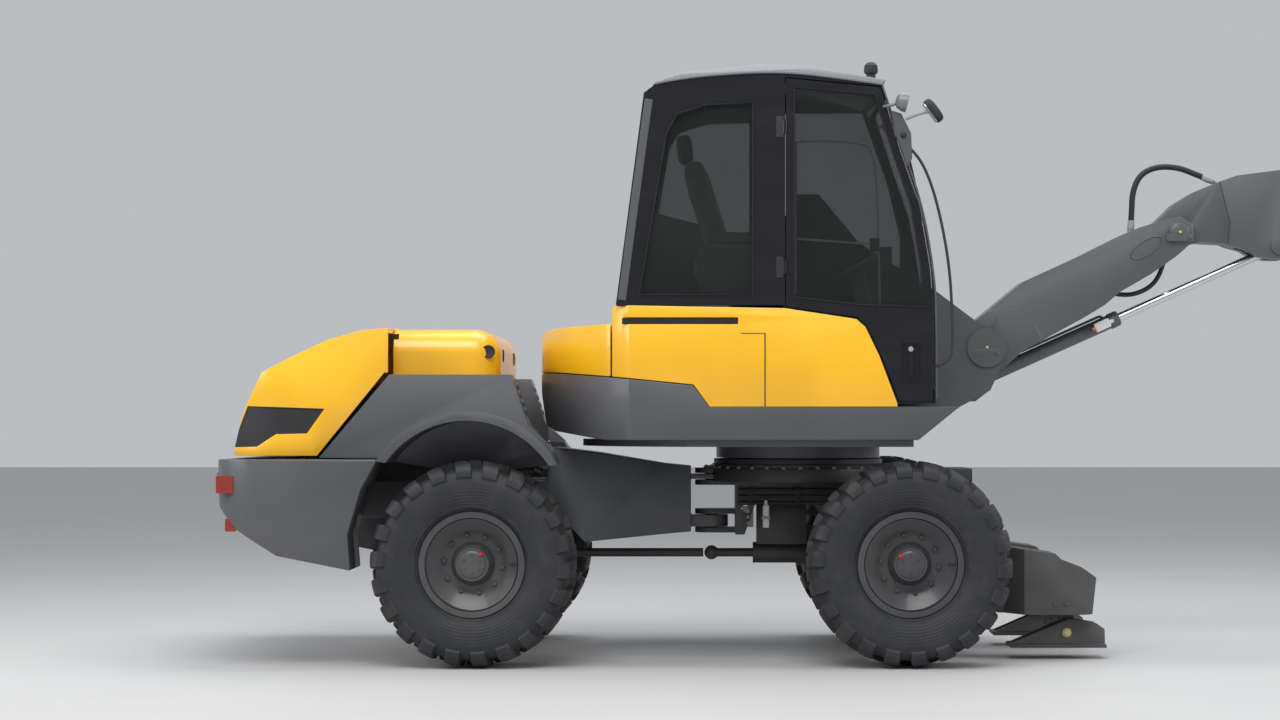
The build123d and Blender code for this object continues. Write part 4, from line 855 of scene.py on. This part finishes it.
def makeRoofItems():
    # work lamps beside the roof's front corners, each on a bent stalk
    size = lampSize
    radius, depth, aim = size["radius"], size["depth"], size["aim"]
    for side, label in ((1, "right"), (-1, "left")):
        out = size["out"] if side == 1 else -cabWidth - size["out"]
        spot = onCab(*size["place"], out)
        bends = [(-0.060, side * 0.050, -0.030), (-0.030, 0, -0.030), (0, 0, -0.020),
                 (0.010, 0, 0)]
        stalk = sweep(smoothLine(spot + bends, 20), circle(0.009, 12))
        shell = lathe([(0, 0), (0, 0.020), (0.012, 0.040), (0.040, radius), (depth, radius),
                       (depth, radius - 0.006), (depth - 0.008, radius - 0.008),
                       (depth - 0.008, 0)], spot, aim)
        lens = lathe([(0, 0), (0, radius - 0.008), (0.004, radius - 0.016), (0.009, 0)],
                     spot + aim * (depth - 0.012), aim)
        makePiece(f"work_lamp_{label}", "trim", "turret", [stalk, shell])
        makePiece(f"work_lamp_lens_{label}", "clear", "turret", [lens])
    base = middle("beacon")
    spot = np.array([base[0], base[1], high("beacon")[2] - 0.112])
    knob = lathe([(0, 0), (0, 0.026), (0.045, 0.024), (0.050, 0.034), (0.062, 0.037),
                  (0.092, 0.034), (0.106, 0.020), (0.110, 0)], spot, zWay, 36)
    makePiece("beacon_knob", "plastic", "turret", [knob], ["beacon"])
    # wiper: its motor's shaft, arm and blade in front of the windscreen
    foot = inCab(0.705, -0.02, 1.98)
    tip = inCab(0.600, -0.22, 2.52)
    arm = sweep(smoothLine([foot, foot + (0.008, -0.02, 0.10), tip + (0.022, 0, -0.1), tip], 30),
                softOblong(0.014, 0.008))
    blade = sweep(smoothLine([tip + (-0.062, 0.01, 0.24), tip + (-0.02, 0.0, 0.10),
                              tip + (0.010, 0.0, -0.08), tip + (0.052, -0.01, -0.24)], 40),
                  softOblong(0.010, 0.020))
    shaft = rod(foot - (0.03, 0, 0), foot + (0.012, 0, 0), 0.014)
    makePiece("wiper", "plastic", "turret", [arm, blade, shaft])


makeCabTrim()
makeMirrors()
makeRoofItems()
print("cab trim, mirrors and lamps made")

# cab, inside
seatSize = {
    "x": -0.330,          # middle of the cushion from the slew axis
    "top": 2.170,
    "cushion": (0.50, 0.50, 0.13),
    "channels": 4,
    "back": (0.56, 0.47, 0.13),
    "backChannels": 5,
    "backAt": (-0.505, 0, 2.400),
    "backTurn": -1.88,    # radians about y, from lying flat
    "head": (0.15, 0.24, 0.085),
    "headAt": (-0.628, 0, 2.742),
    "headTurn": -1.70,
    "armrestY": 0.300,    # middle of each armrest from the cab's middle plane
}


def quilted(shape, centre, size, channels):
    # a crowned pad whose top has sewn channels: z - d exp(-((x - c) / w)^2) near each seam c
    places, quads = shape
    places = places.copy()
    seams = np.linspace(-0.5, 0.5, channels + 1)[1:-1] * size[0]
    dip = sum(np.exp(-((places[:, 0] - centre[0] - seam) / 0.007) ** 2) for seam in seams)
    top = step(places[:, 2], centre[2], centre[2] + size[2] / 2)
    places[:, 2] -= 0.012 * dip * top
    return places, quads


def atPlace(shape, place):
    return shape[0] + place, shape[1]


def makeSeat():
    size = seatSize
    origin = np.zeros(3)
    centre = inCab(size["x"], 0, size["top"] - size["cushion"][2] / 2)
    base = quilted(cushion(centre, size["cushion"], 0.30, 0.45, 60, 120), centre,
                   size["cushion"], size["channels"])
    back = quilted(cushion(origin, size["back"], 0.32, 0.50, 60, 120), origin, size["back"],
                   size["backChannels"])
    back = turned(back, origin, yWay, [size["backTurn"]])
    head = turned(cushion(origin, size["head"], 0.4, 0.55, 30, 60), origin, yWay,
                  [size["headTurn"]])
    pads = {"seat_cushion": base, "seat_back": atPlace(back, inCab(*size["backAt"])),
            "seat_headrest": atPlace(head, inCab(*size["headAt"]))}
    for name, shape in pads.items():
        piece = makePiece(name, "cloth", "turret", [shape],
                          ["seat"] if name == "seat_cushion" else [])
    # base with its bellows, the headrest's two rods, and a console, armrest and lever each side
    parts = [softBlock(inCab(-0.55, -0.19, 1.940), inCab(-0.12, 0.19, 2.045), 0.2)]
    bellows = softOblong(0.012, 0.40, 0.3, 20)
    parts += [sweep([inCab(-0.54, 0, z), inCab(-0.13, 0, z)], bellows)
              for z in (1.960, 1.985, 2.010)]
    parts += [rod(inCab(-0.622, y, 2.640), inCab(-0.626, y, 2.720), 0.006)
              for y in (-0.05, 0.05)]
    for y in (-size["armrestY"], size["armrestY"]):
        box = softBlock(inCab(-0.56, y - 0.055, 1.936), inCab(-0.06, y + 0.055, 2.215), 0.25)
        rest = cushion(inCab(-0.33, y, 2.245), (0.36, 0.085, 0.055), 0.3, 0.5)
        boot = lathe([(0, 0), (0, 0.034), (0.012, 0.030), (0.022, 0.024), (0.034, 0.020),
                      (0.046, 0.014), (0.052, 0)], inCab(-0.09, y, 2.210), zWay)
        bends = [(-0.09, 2.240), (-0.085, 2.300), (-0.070, 2.350), (-0.066, 2.375)]
        lever = sweep(smoothLine([inCab(x, y, z) for x, z in bends], 24), circle(0.008))
        grip = lathe([(0, 0), (0, 0.014), (0.02, 0.019), (0.055, 0.017), (0.085, 0.022),
                      (0.108, 0.020), (0.118, 0.010), (0.120, 0)], inCab(-0.068, y, 2.350),
                     (0.16, 0, 1))
        parts += [box, rest, boot, lever, grip]
    makePiece("seat_frame_and_levers", "softGrey", "turret", parts)


columnSize = {
    "hub": (0.280, 0, 2.092),
    "way": np.array([-0.5, 0, 0.866]),
    "wheelRadius": 0.166,
    "rimRadius": 0.0125,
    "spokes": (0.0, 2.1, 4.2),
    "foot": (0.360, 0, 1.421),
    "pedals": (-0.22, -0.11, 0.11, 0.22),
}


def makeColumn():
    # steering wheel on its column, and the pedals in front of it
    size = columnSize
    hub, way = inCab(*size["hub"]), size["way"]
    _, p, q = across(way)
    a = np.linspace(0, 2 * np.pi, 72, endpoint=False)
    radial = np.cos(a)[:, None] * p + np.sin(a)[:, None] * q
    ring = circle(size["rimRadius"])
    reach = (size["wheelRadius"] + ring[:, 0])[None, :, None]
    rim = sheet(hub + way * 0.010 + radial[:, None] * reach + way * ring[:, 1][None, :, None],
                closeU=True, closeV=True)
    spokes = [sweep([hub, hub + (np.cos(a) * p + np.sin(a) * q) * 0.160],
                    softOblong(0.030, 0.012), np.cross(p, q)) for a in size["spokes"]]
    boss = lathe([(-0.03, 0), (-0.03, 0.030), (0.0, 0.050), (0.022, 0.046), (0.026, 0)], hub, way)
    foot = inCab(*size["foot"])
    column = sweep(smoothLine([foot, foot + (-0.01, 0, 0.25), hub + (0.06, 0, -0.20),
                               hub - way * 0.02], 30), softOblong(0.10, 0.12, 0.4))
    plate = turned(softBlock((-0.07, -0.035, -0.008), (0.07, 0.035, 0.008), 0.2), np.zeros(3),
                   yWay, [-0.7])
    pedals = []
    for y in size["pedals"]:
        spot = inCab(0.330, y, 1.520)
        pedals += [atPlace(plate, spot), rod(spot + (0, 0, -0.01), spot + (0.03, 0, -0.09), 0.009)]
    makePiece("steering_column", "softGrey", "turret", [rim, *spokes, boss, column, *pedals],
              ["console"])
    panel = softBlock(onCab(0.40, 2.060, -0.10), onCab(0.46, 2.200, -0.26), 0.15)
    stalk = rod(onCab(0.43, 1.95, -0.18), onCab(0.43, 2.08, -0.18), 0.014)
    makePiece("monitor", "plastic", "turret", [panel, stalk])


makeSeat()
makeColumn()
print("cab inside made")

# body panels


def onRear(x, z, y):
    # a place from the rear axle, for the hood, the fenders and the counterweight
    return np.array([rearAxleX + x, y, z])


panelSize = {
    # the cover's joint and air slot: x from the slew axis, and z
    "jointX": (-0.335, -0.208),
    "jointZ": (1.362, 1.742),
    "slot": ((-0.952, 1.791), (-0.350, 1.822)),
    "slat": ((-0.948, 1.793), (-0.941, 1.820)),
    "slats": 46,
    "slatPitch": 0.01295,
    # the hood's grille: x from the rear axle, and z
    "rows": 5,
    "lowestRow": 1.196,
    "rowPitch": 0.031,
    "rowFrom": -1.020,
    "rowTo": -0.925,
    "rowLonger": 0.024,       # each row reaches this much further than the one below
    "sideLatch": (0.055, 1.655),
    "frontLatch": (0.42, 1.640),
    "hoodHingeY": 0.480,
}


def coverBlock(corners, front, back, flat):
    # block between two depths behind the right cover's face
    (x, z), (xFar, zFar) = corners
    face = low("cover_right")[1]
    return softBlock((slewX + x, face + front, z), (slewX + xFar, face + back, zFar), flat)


def makePanelTrim():
    # joint between the cover's two panels: down its side, and along its top
    size = panelSize
    y = low("cover_right")[1] - 0.0005
    down = [(slewX + size["jointX"][1], y, z) for z in size["jointZ"]]
    along = [(slewX + x, y, size["jointZ"][1]) for x in size["jointX"]]
    groove = softOblong(0.0024, 0.006, 0.3, 12)
    makePiece("cover_joint", "rubber", "turret",
              [sweep(down, groove, xWay), sweep(along, groove)])
    # air slot in the cover: a dark strip, painted shade for the slot's inside, with fine slats in
    # front of it
    strip = coverBlock(size["slot"], 0.012, 0.026, 0.05)
    slats = copies(coverBlock(size["slat"], 0.004, 0.014, 0.2),
                   np.arange(size["slats"])[:, None] * size["slatPitch"] * xWay)
    makePiece("cover_air_slot", "plastic", "turret", [strip, slats])
    # grille slats on both sides of the hood, in the slope of their opening
    y = (high("hood_grilles")[1] - low("hood_grilles")[1]) / 2 - 0.006
    shapes = []
    for side in (-1, 1):
        for row in range(size["rows"]):
            z = size["lowestRow"] + size["rowPitch"] * row
            end = size["rowTo"] + size["rowLonger"] * row
            shapes.append(sweep([onRear(size["rowFrom"], z, side * y),
                                 onRear(end, z + 0.008, side * y)],
                                softOblong(0.014, 0.011, 0.4, 16)))
    makePiece("hood_grille_slats", "plastic", "engine_hood", shapes)
    # latches of the front hood: a round cup on each side, and two on its front
    shapes = []
    x, z = size["sideLatch"]
    for side in (-1, 1):
        spot = onRear(x, z, side * (high("front_hood")[1] - 0.024))
        shapes.append(lathe([(-0.004, 0), (-0.004, 0.032), (0.003, 0.036), (0.005, 0.032),
                             (0.001, 0.024), (0.001, 0)], spot, side * yWay, 36))
    y, z = size["frontLatch"]
    for side in (-1, 1):
        spot = (high("front_hood")[0] - 0.002, side * y, z)
        shapes.append(lathe([(-0.004, 0), (-0.004, 0.034), (0.004, 0.036), (0.006, 0.030),
                             (0.002, 0.022), (0.002, 0)], spot, xWay, 36))
    makePiece("front_hood_latches", "plastic", "rear_chassis", shapes)
    # leaves of the engine hood's hinges
    hinge = jointAt("hood_hinge")
    leaves = [softBlock((hinge[0] - 0.075, y - 0.040, hinge[2] - 0.006),
                        (hinge[0] - 0.004, y + 0.040, hinge[2] + 0.003), 0.2)
              for y in (-size["hoodHingeY"], size["hoodHingeY"])]
    makePiece("hood_hinge_leaves", "plastic", "engine_hood", leaves)


stepStrip = {"from": (0.1997, 1.495), "to": (0.2645, 1.310), "width": 0.086, "thick": 0.004,
             "holes": 4, "y": 0.765, "lift": 0.001}


def makeStepStrips():
    # perforated strip down the fender's front slope: raised rings round dark discs, which are
    # painted shade standing in for the holes
    strip = stepStrip
    for side, label in ((-1, "right"), (1, "left")):
        y = side * strip["y"]
        start, end = onRear(*strip["from"], y), onRear(*strip["to"], y)
        way = (end - start) / np.linalg.norm(end - start)
        lift = np.array([-way[2], 0, way[0]])
        lift = lift * np.sign(lift[0])
        bar = sweep([start + lift * strip["lift"], end + lift * strip["lift"]],
                    softOblong(strip["thick"], strip["width"]))
        holes, rings = [], []
        for t in np.linspace(0.14, 0.86, strip["holes"]):
            spot = start + (end - start) * t + lift * (strip["lift"] + strip["thick"] / 2)
            rings.append(lathe([(-0.001, 0.013), (-0.001, 0.019), (0.004, 0.017), (0.005, 0.015),
                                (0.004, 0.013), (-0.001, 0.013)], spot, lift, 24))
            # thin dark disc in each ring: painted shade in place of the hole
            holes.append(lathe([(0, 0), (0, 0.0125), (0.001, 0.0120), (0.0012, 0)], spot, lift, 20))
        makePiece(f"step_strip_{label}", "rim", "rear_chassis", [bar, *rings])
        # the discs wear dark rubber as painted shade for the holes' insides
        makePiece(f"step_strip_hole_shade_{label}", "rubber", "rear_chassis", holes)


tailSize = {
    "reflector": (-1.255, 0.745, 1.094),   # x from the rear axle, z, and y on each side
    "lampY": 0.780,
    "lensZ": 0.970,
    "lensPitch": 0.048,
    "shadeZ": 1.004,
    "shadeHalf": 0.082,
}


def makeRearItems():
    # reflectors on the tail's sides, three lenses on each rear lamp, and a shade over them
    size = tailSize
    x, z, y = size["reflector"]
    rear = low("rear_lamps")[0]
    reflectors, lenses, shades = [], [], []
    for side in (-1, 1):
        reflectors.append(cushion(onRear(x, z, side * y), (0.060, 0.010, 0.070), 0.2, 0.3, 12, 28))
        lampY = side * size["lampY"]
        lenses += [lathe([(0, 0), (0, 0.019), (0.006, 0.016), (0.010, 0)],
                         (rear + 0.001, lampY + n * size["lensPitch"], size["lensZ"]), -xWay, 28)
                   for n in (-1, 0, 1)]
        shades.append(sweep([(rear - 0.001, lampY + n * size["shadeHalf"], size["shadeZ"])
                             for n in (-1, 1)], softOblong(0.012, 0.006), xWay))
    makePiece("side_reflectors", "tail", "rear_chassis", reflectors)
    makePiece("tail_lenses", "tail", "rear_chassis", lenses)
    makePiece("lamp_shades", "rubber", "rear_chassis", shades)


makePanelTrim()
makeStepStrips()
makeRearItems()
print("panels and tail made")

# chassis
frameSize = {
    "ringBolts": 32,
    "pipesY": 0.268,
    "pipesZ": (0.905, 0.870, 0.835),
    "pipeRadius": 0.0095,
    "clampsX": (-0.82, -0.56, -0.30),   # from the front axle
    "clampY": 0.262,
    "bottle": (1.545, -0.292, 0.700),   # from the rear axle
    "hingeCapZ": 1.024,
    "valve": (-0.831, -0.232),          # x from the front axle, and its face's y
    "unionsZ": (0.725, 0.757, 0.789),
}


def makeSlewRing():
    # bolts under the ring's edge, and a lip round it
    ring = middle("slew_ring")
    outer = (high("slew_ring")[0] - low("slew_ring")[0]) / 2
    deck = low("slew_ring")[2]
    bolt = hexBolt((ring[0] + outer + 0.002, ring[1], deck), zWay, 0.010, 0.012)
    count = frameSize["ringBolts"]
    makePiece("slew_ring_bolts", "steel", "front_chassis",
              [turned(bolt, ring, zWay, np.arange(count) * 2 * np.pi / count)])
    lip = lathe([(0, outer + 0.002), (0, outer + 0.010), (0.006, outer + 0.010),
                 (0.008, outer + 0.002), (0, outer + 0.002)], (ring[0], ring[1], deck + 0.018),
                zWay, 120)
    makePiece("slew_ring_lip", "plastic", "front_chassis", [lip])


def makeFramePipes():
    # three pipes along both sides of the frame, bent down past the axle, in three clamps
    size = frameSize
    shapes = []
    for side in (-1, 1):
        for row, z in enumerate(size["pipesZ"]):
            bends = [(-0.885, z), (-0.60, z), (-0.36, z), (-0.26, z - 0.03 * row - 0.02),
                     (-0.18, z - 0.06), (-0.10, z - 0.10), (0.16, z - 0.115)]
            line = [(frontAxleX + x, side * size["pipesY"], height) for x, height in bends]
            shapes.append(sweep(smoothLine(line, 60), circle(size["pipeRadius"], 10)))
        for x in size["clampsX"]:
            y = side * size["clampY"]
            shapes.append(softBlock((frontAxleX + x - 0.016, y - 0.010, 0.822),
                                    (frontAxleX + x + 0.016, y + 0.020, 0.920), 0.2))
    makePiece("frame_pipes", "plastic", "front_chassis", shapes)


def makeHingeItems():
    # white grease bottle beside the frame
    size = frameSize
    x, y, z = size["bottle"]
    x += rearAxleX
    bottle = lathe([(0, 0), (0, 0.016), (0.010, 0.018), (0.120, 0.018), (0.128, 0.010),
                    (0.150, 0.008), (0.152, 0)], (x, y, z), zWay, 28)
    makePiece("grease_bottle", "white", "front_chassis", [bottle])
    # cap of the frame hinge's pin with its four bolts, and the bottle's clamp
    hingeX, capZ = jointAt("articulation")[0], size["hingeCapZ"]
    cap = lathe([(0, 0), (0, 0.046), (0.010, 0.044), (0.014, 0.030), (0.015, 0)],
                (hingeX, 0, capZ), zWay, 36)
    bolts = turned(hexBolt((hingeX + 0.030, 0, capZ + 0.012), zWay, 0.007, 0.006),
                   (hingeX, 0, capZ), zWay, np.arange(4) * np.pi / 2)
    clamp = softBlock((x - 0.023, y - 0.020, z + 0.045), (x + 0.023, y + 0.046, z + 0.065), 0.2)
    makePiece("hinge_pin_cap", "steel", "front_chassis", [cap, bolts, clamp])
    # valve body with three unions, seen between the chassis halves
    x, y = frontAxleX + size["valve"][0], size["valve"][1]
    shapes = [softBlock((x - 0.031, y, 0.700), (x + 0.031, y + 0.052, 0.815), 0.1)]
    shapes += [lathe([(0, 0), (0, 0.013), (0.018, 0.013), (0.018, 0.009), (0.030, 0.009),
                      (0.030, 0)], (x, y, z), -yWay, 20) for z in size["unionsZ"]]
    makePiece("frame_unions", "steel", "front_chassis", shapes)


driveSize = {"z": 0.551, "bolts": 8, "boltCircle": 0.043,
             "flanges": {"rear_chassis": rearAxleX + 0.262, "front_chassis": frontAxleX - 0.250}}


def makeDriveJoints():
    # bolted flanges at the propeller shaft's ends
    z, count = driveSize["z"], driveSize["bolts"]
    for body, x in driveSize["flanges"].items():
        disc = lathe([(0, 0), (0, 0.052), (0.014, 0.052), (0.018, 0.040), (0.040, 0.034),
                      (0.040, 0)], (x, 0, z), xWay, 40)
        bolts = turned(hexBolt((x + 0.014, driveSize["boltCircle"], z), xWay, 0.0065, 0.007),
                       (x, 0, z), xWay, np.arange(count) * 2 * np.pi / count)
        makePiece(f"shaft_flange_{body}", "steel", body, [disc, bolts])


makeSlewRing()
makeFramePipes()
makeHingeItems()
makeDriveJoints()
print("chassis made")

# arm
pinSize = {
    # joint: the body that carries the caps, half width at the caps, cap radius
    "boom_foot": ("turret", 0.193, 0.058),
    "boom_knee": ("lower_boom", 0.164, 0.052),
    "stick_pivot": ("upper_boom", 0.140, 0.050),
    "bucket_pivot": ("stick", 0.150, 0.038),
}


def makePins():
    # at each end of a pin: its cap, a keeper plate with a bolt, and a grease nipple
    keeper = softBlock((-0.075, -0.006, -0.020), (0.075, 0.006, 0.020), 0.2)
    for name, (body, half, radius) in pinSize.items():
        caps, nipples = [], []
        for way in (-yWay, yWay):
            face = jointAt(name) + way * half
            caps.append(lathe([(-0.002, 0), (-0.002, radius), (0.006, radius),
                               (0.010, radius * 0.86), (0.0105, 0)], face, way, 40))
            caps.append(atPlace(keeper, face + way * 0.008 - 0.030 * zWay))
            caps.append(hexBolt(face + way * 0.012 + (0.055, 0, -0.030), way, 0.010, 0.009))
            nipples.append(lathe([(0, 0), (0, 0.009), (0.006, 0.009), (0.010, 0.005),
                                  (0.018, 0.005), (0.019, 0)], face + way * 0.009, way, 16))
        makePiece(f"pin_caps_{name}", "boom", body, caps)
        makePiece(f"grease_nipples_{name}", "nipple", body, nipples)


weldSize = {"radius": 0.0045, "halfWidth": 0.1505}
welds = {
    # piece: middle, half length, half height, rise along the length, first and last angle, points
    "doubler_weld": (boomFoot + (0.095, 0, 0.005), 0.215, 0.215, 0.0, (0.10, 1.80), 70),
    "boom_boss_weld": (elbow + (-0.185, 0, -0.085), 0.085, 0.045, 0.045, (0, 2 * np.pi), 60),
}


def makeWelds():
    # round beads on both sides of the lower boom: (x + l cos a, z + h sin a + s cos a)
    bead = circle(weldSize["radius"], 10)
    for name, (centre, wide, tall, rise, angles, count) in welds.items():
        a = np.linspace(*angles, count)
        x = centre[0] + wide * np.cos(a)
        z = centre[2] + tall * np.sin(a) + rise * np.cos(a)
        sides = [np.full(count, boomY + side * weldSize["halfWidth"]) for side in (-1, 1)]
        makePiece(name, "boom", "lower_boom",
                  [sweep(np.stack([x, y, z], axis=1), bead) for y in sides])


cylinders = {
    # cylinder: (barrel radius, rod radius)
    "lift": (0.055, 0.030), "positioning": (0.040, 0.025), "stick": (0.050, 0.030),
    "bucket": (0.044, 0.026),
}


def barrelLine(name):
    # a cylinder's base pin, its way, how far its barrel's mouth is, and the way off its back
    base = jointAt(f"{name}_cylinder_base")
    way = np.array(jointRows[f"{name}_cylinder_slide"]["axis"])
    barrel = frame["nodes"][f"{name}_cylinder_barrel"].data
    places = np.array([v.co[:] for v in barrel.vertices])
    lift = np.cross(way, yWay)
    return base, way, ((places - base) @ way).max(), lift * np.sign(lift[2])


def makeCylinderEnds():
    # gland nut at each barrel's mouth and a hard pipe along its back
    for name, (barrel, ram) in cylinders.items():
        base, way, mouth, lift = barrelLine(name)
        gland = lathe([(-0.060, barrel + 0.0005), (-0.056, barrel + 0.0045),
                       (-0.010, barrel + 0.0045), (-0.004, barrel + 0.002),
                       (0.001, barrel - 0.004), (0.003, ram + 0.004), (-0.002, ram + 0.0015),
                       (-0.060, barrel + 0.0005)], base + way * mouth, way, 48)
        start, end = 0.075, mouth - 0.085
        skin, clear = barrel - 0.004, barrel + 0.011
        bends = [(start, skin), (start, clear), (start + 0.05, clear), ((start + end) / 2, clear),
                 (end - 0.05, clear), (end, clear), (end, skin)]
        line = [base + way * along + lift * out for along, out in bends]
        pipe = sweep(smoothLine(line, 60), circle(0.0075, 12), yWay)
        makePiece(f"gland_{name}", "boom", f"{name}_cylinder_barrel", [gland, pipe])


# back from the positioning barrel's mouth, out from its axis, half length
valveSize = {"back": 0.110, "out": 0.062, "half": 0.045}


def makeHoseValve():
    # burst valve beside the positioning cylinder's mouth: a white block with an orange plug
    size = valveSize
    base, way, mouth, _ = barrelLine("positioning")
    spot = base + way * (mouth - size["back"]) - yWay * size["out"]
    block = softBlock(spot - (size["half"], 0.020, 0.026), spot + (size["half"], 0.018, 0.026),
                      0.15)
    block = turned(block, spot, yWay, [-math.atan2(way[2], way[0])])
    union = lathe([(0, 0), (0, 0.013), (0.014, 0.013), (0.014, 0.010), (0.026, 0.010), (0.026, 0)],
                  spot + way * (size["half"] - 0.001), way, 20)
    makePiece("burst_valve", "white", "positioning_cylinder_barrel", [block, union])
    plug = lathe([(0, 0), (0, 0.012), (0.016, 0.012), (0.018, 0.008), (0.018, 0)],
                 spot - way * (size["half"] - 0.001), -way, 20)
    makePiece("burst_valve_plug", "orange", "positioning_cylinder_barrel", [plug])


makePins()
makeWelds()
makeCylinderEnds()
makeHoseValve()
print("arm made")

# hoses at the boom's knee: x and z of the points that their lines follow, from the knee
hoses = {
    # crosses the knee, so it rides on neither boom; a ferrule at each end rides on its own boom
    "upper_hose": {
        "body": None, "side": -0.060, "radius": 0.0165,
        "line": [(-0.259, 0.022), (-0.253, 0.120), (-0.249, 0.235), (-0.205, 0.335),
                 (-0.110, 0.378), (0.010, 0.372), (0.100, 0.336), (0.190, 0.300)],
    },
    "lower_hose": {
        "body": "lower_boom", "side": -0.060, "radius": 0.013,
        "line": [(-0.070, -0.150), (-0.090, -0.220), (-0.130, -0.285), (-0.200, -0.330),
                 (-0.290, -0.350), (-0.370, -0.335)],
    },
}


def splinePath(name, points):
    # places along a NURBS curve with these points as its controls
    curve = bpy.data.curves.new(name, "CURVE")
    curve.dimensions = "3D"
    curve.resolution_u = 16
    spline = curve.splines.new("NURBS")
    spline.points.add(len(points) - 1)
    spline.points.foreach_set("co", np.c_[points, np.ones(len(points))].ravel())
    spline.order_u = 3
    spline.use_endpoint_u = True
    holder = bpy.data.objects.new(name, curve)
    mesh = bpy.data.meshes.new_from_object(holder)
    places = np.array([v.co[:] for v in mesh.vertices])
    bpy.data.objects.remove(holder)
    bpy.data.meshes.remove(mesh)
    bpy.data.curves.remove(curve)
    return places


def makeFerrule(name, body, end, way):
    # crimped end of a hose with its nut
    ferrule = lathe([(-0.052, 0), (-0.052, 0.0185), (-0.010, 0.0200), (-0.004, 0.0200),
                     (0.0, 0.0180), (0.016, 0.0180), (0.016, 0.012), (0.034, 0.012),
                     (0.034, 0)], end, way / np.linalg.norm(way), 24)
    makePiece(name, "steel", body, [ferrule])


def makeHoses():
    for name, hose in hoses.items():
        radius = hose["radius"]
        path = splinePath(name, np.array([(elbow[0] + x, boomY + hose["side"], elbow[2] + z)
                                          for x, z in hose["line"]]))
        piece = makePiece(name, "hose", hose["body"], [sweep(path, circle(radius, 16), yWay)])
        if hose["body"] is None:
            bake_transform(piece)
            makeFerrule(f"{name}_end_lower_boom", "lower_boom", path[0], path[0] - path[1])
            makeFerrule(f"{name}_end_upper_boom", "upper_boom", path[-1], path[-1] - path[-2])


stabiliserSize = {
    "padPinY": 0.502,
    "armPinY": 0.430,
    # bolts through the arm's plate: x from its pivot, y on each side, and z
    "plateBolts": (0.44, 0.50),
    "plateY": 0.600,
    "plateZ": 0.30,
}


def makeStabiliserItems():
    # a bolt at each pad's pin, a cap on each arm's pin, and two bolts in each arm's plate
    size = stabiliserSize
    for side, label in ((-1, "right"), (1, "left")):
        way = side * yWay
        pad = jointAt(f"pad_{label}")
        pin = hexBolt((pad[0], side * size["padPinY"], pad[2]), way, 0.017, 0.014)
        makePiece(f"pad_pin_{label}", "nipple", f"stabiliser_pad_{label}", [pin])
        pivot = jointAt(f"stabiliser_{label}")
        cap = lathe([(0, 0), (0, 0.060), (0.008, 0.058), (0.012, 0.040), (0.013, 0)],
                    (pivot[0], side * size["armPinY"], pivot[2]), way, 36)
        makePiece(f"arm_pin_cap_{label}", "dark", "front_chassis", [cap])
        bolts = [hexBolt((pivot[0] + x, side * size["plateY"], size["plateZ"]), way, 0.010, 0.008)
                 for x in size["plateBolts"]]
        makePiece(f"arm_plate_bolts_{label}", "dark", f"stabiliser_arm_{label}", bolts)


makeHoses()
makeStabiliserItems()
print("hoses and stabiliser items made")

# stage, light and camera
sceneLook = {
    "floorColour": (0.50, 0.50, 0.50, 1.0),
    "skyColour": (0.80, 0.82, 0.85, 1.0),
    "skyStrength": 0.62,
    "cameraBack": 15.4,       # metres from the machine's middle plane
    "cameraHeight": 1.29,
    "cameraPastAxle": 1.205,  # metres forward of the rear axle
    "lens": 77.4,
    "shift": (-0.05, 0.047),
    "floorHalf": 60.0,
    # area lights: place, aim, size, power
    "lights": {
        "keyLight": ((-2.5, -7.0, 8.5), (-0.8, 0, 1.2), (7, 5), 620),
        "topLight": ((0.5, 1.0, 10.0), (0.2, 0, 1.0), (9, 6), 620),
        "frontLight": ((9.0, -4.0, 5.0), (0.5, 0, 1.2), (5, 4), 240),
        "rearLight": ((-9.0, -3.0, 4.5), (-2.0, 0, 1.2), (5, 4), 240),
    },
}


def areaLight(name, place, aim, size, power):
    data = bpy.data.lights.new(name, "AREA")
    data.shape = "RECTANGLE"
    data.size, data.size_y = size
    data.energy = power
    lamp = bpy.data.objects.new(name, data)
    lamp.location = place
    lamp.rotation_euler = (Vector(aim) - Vector(place)).to_track_quat("-Z", "Y").to_euler()
    bpy.context.scene.collection.objects.link(lamp)


def makeStage():
    look = sceneLook
    mesh = bpy.data.meshes.new("floor")
    half = look["floorHalf"]
    mesh.from_pydata([(-half, -half, 0), (half, -half, 0), (half, half, 0), (-half, half, 0)],
                     [], [(0, 1, 2, 3)])
    floor = bpy.data.objects.new("floor", mesh)
    bpy.context.scene.collection.objects.link(floor)
    material, shader, where = newFinish("paleFloor", {"Roughness": 0.55})
    tone = where.noise(0.7, 5.0)
    feed(shader, {"Base Color": tone.blend(rgba(look["floorColour"][:3], 0.95),
                                           rgba(look["floorColour"][:3], 1.05))})
    mesh.materials.append(material)
    world = bpy.data.worlds.new("softSky")
    world.use_nodes = True
    back = world.node_tree.nodes["Background"]
    back.inputs["Color"].default_value = look["skyColour"]
    back.inputs["Strength"].default_value = look["skyStrength"]
    bpy.context.scene.world = world
    bpy.context.scene.view_settings.view_transform = "Standard"
    for name, row in look["lights"].items():
        areaLight(name, *row)


def makeCamera():
    look = sceneLook
    data = bpy.data.cameras.new("camera")
    data.lens = look["lens"]
    data.shift_x, data.shift_y = look["shift"]
    camera = bpy.data.objects.new("camera", data)
    camera.location = (rearAxleX + look["cameraPastAxle"], -look["cameraBack"],
                       look["cameraHeight"])
    camera.rotation_euler = (math.radians(90), 0, 0)
    bpy.context.scene.collection.objects.link(camera)
    bpy.context.scene.camera = camera


makeStage()
makeCamera()
print("stage, lights and camera set")
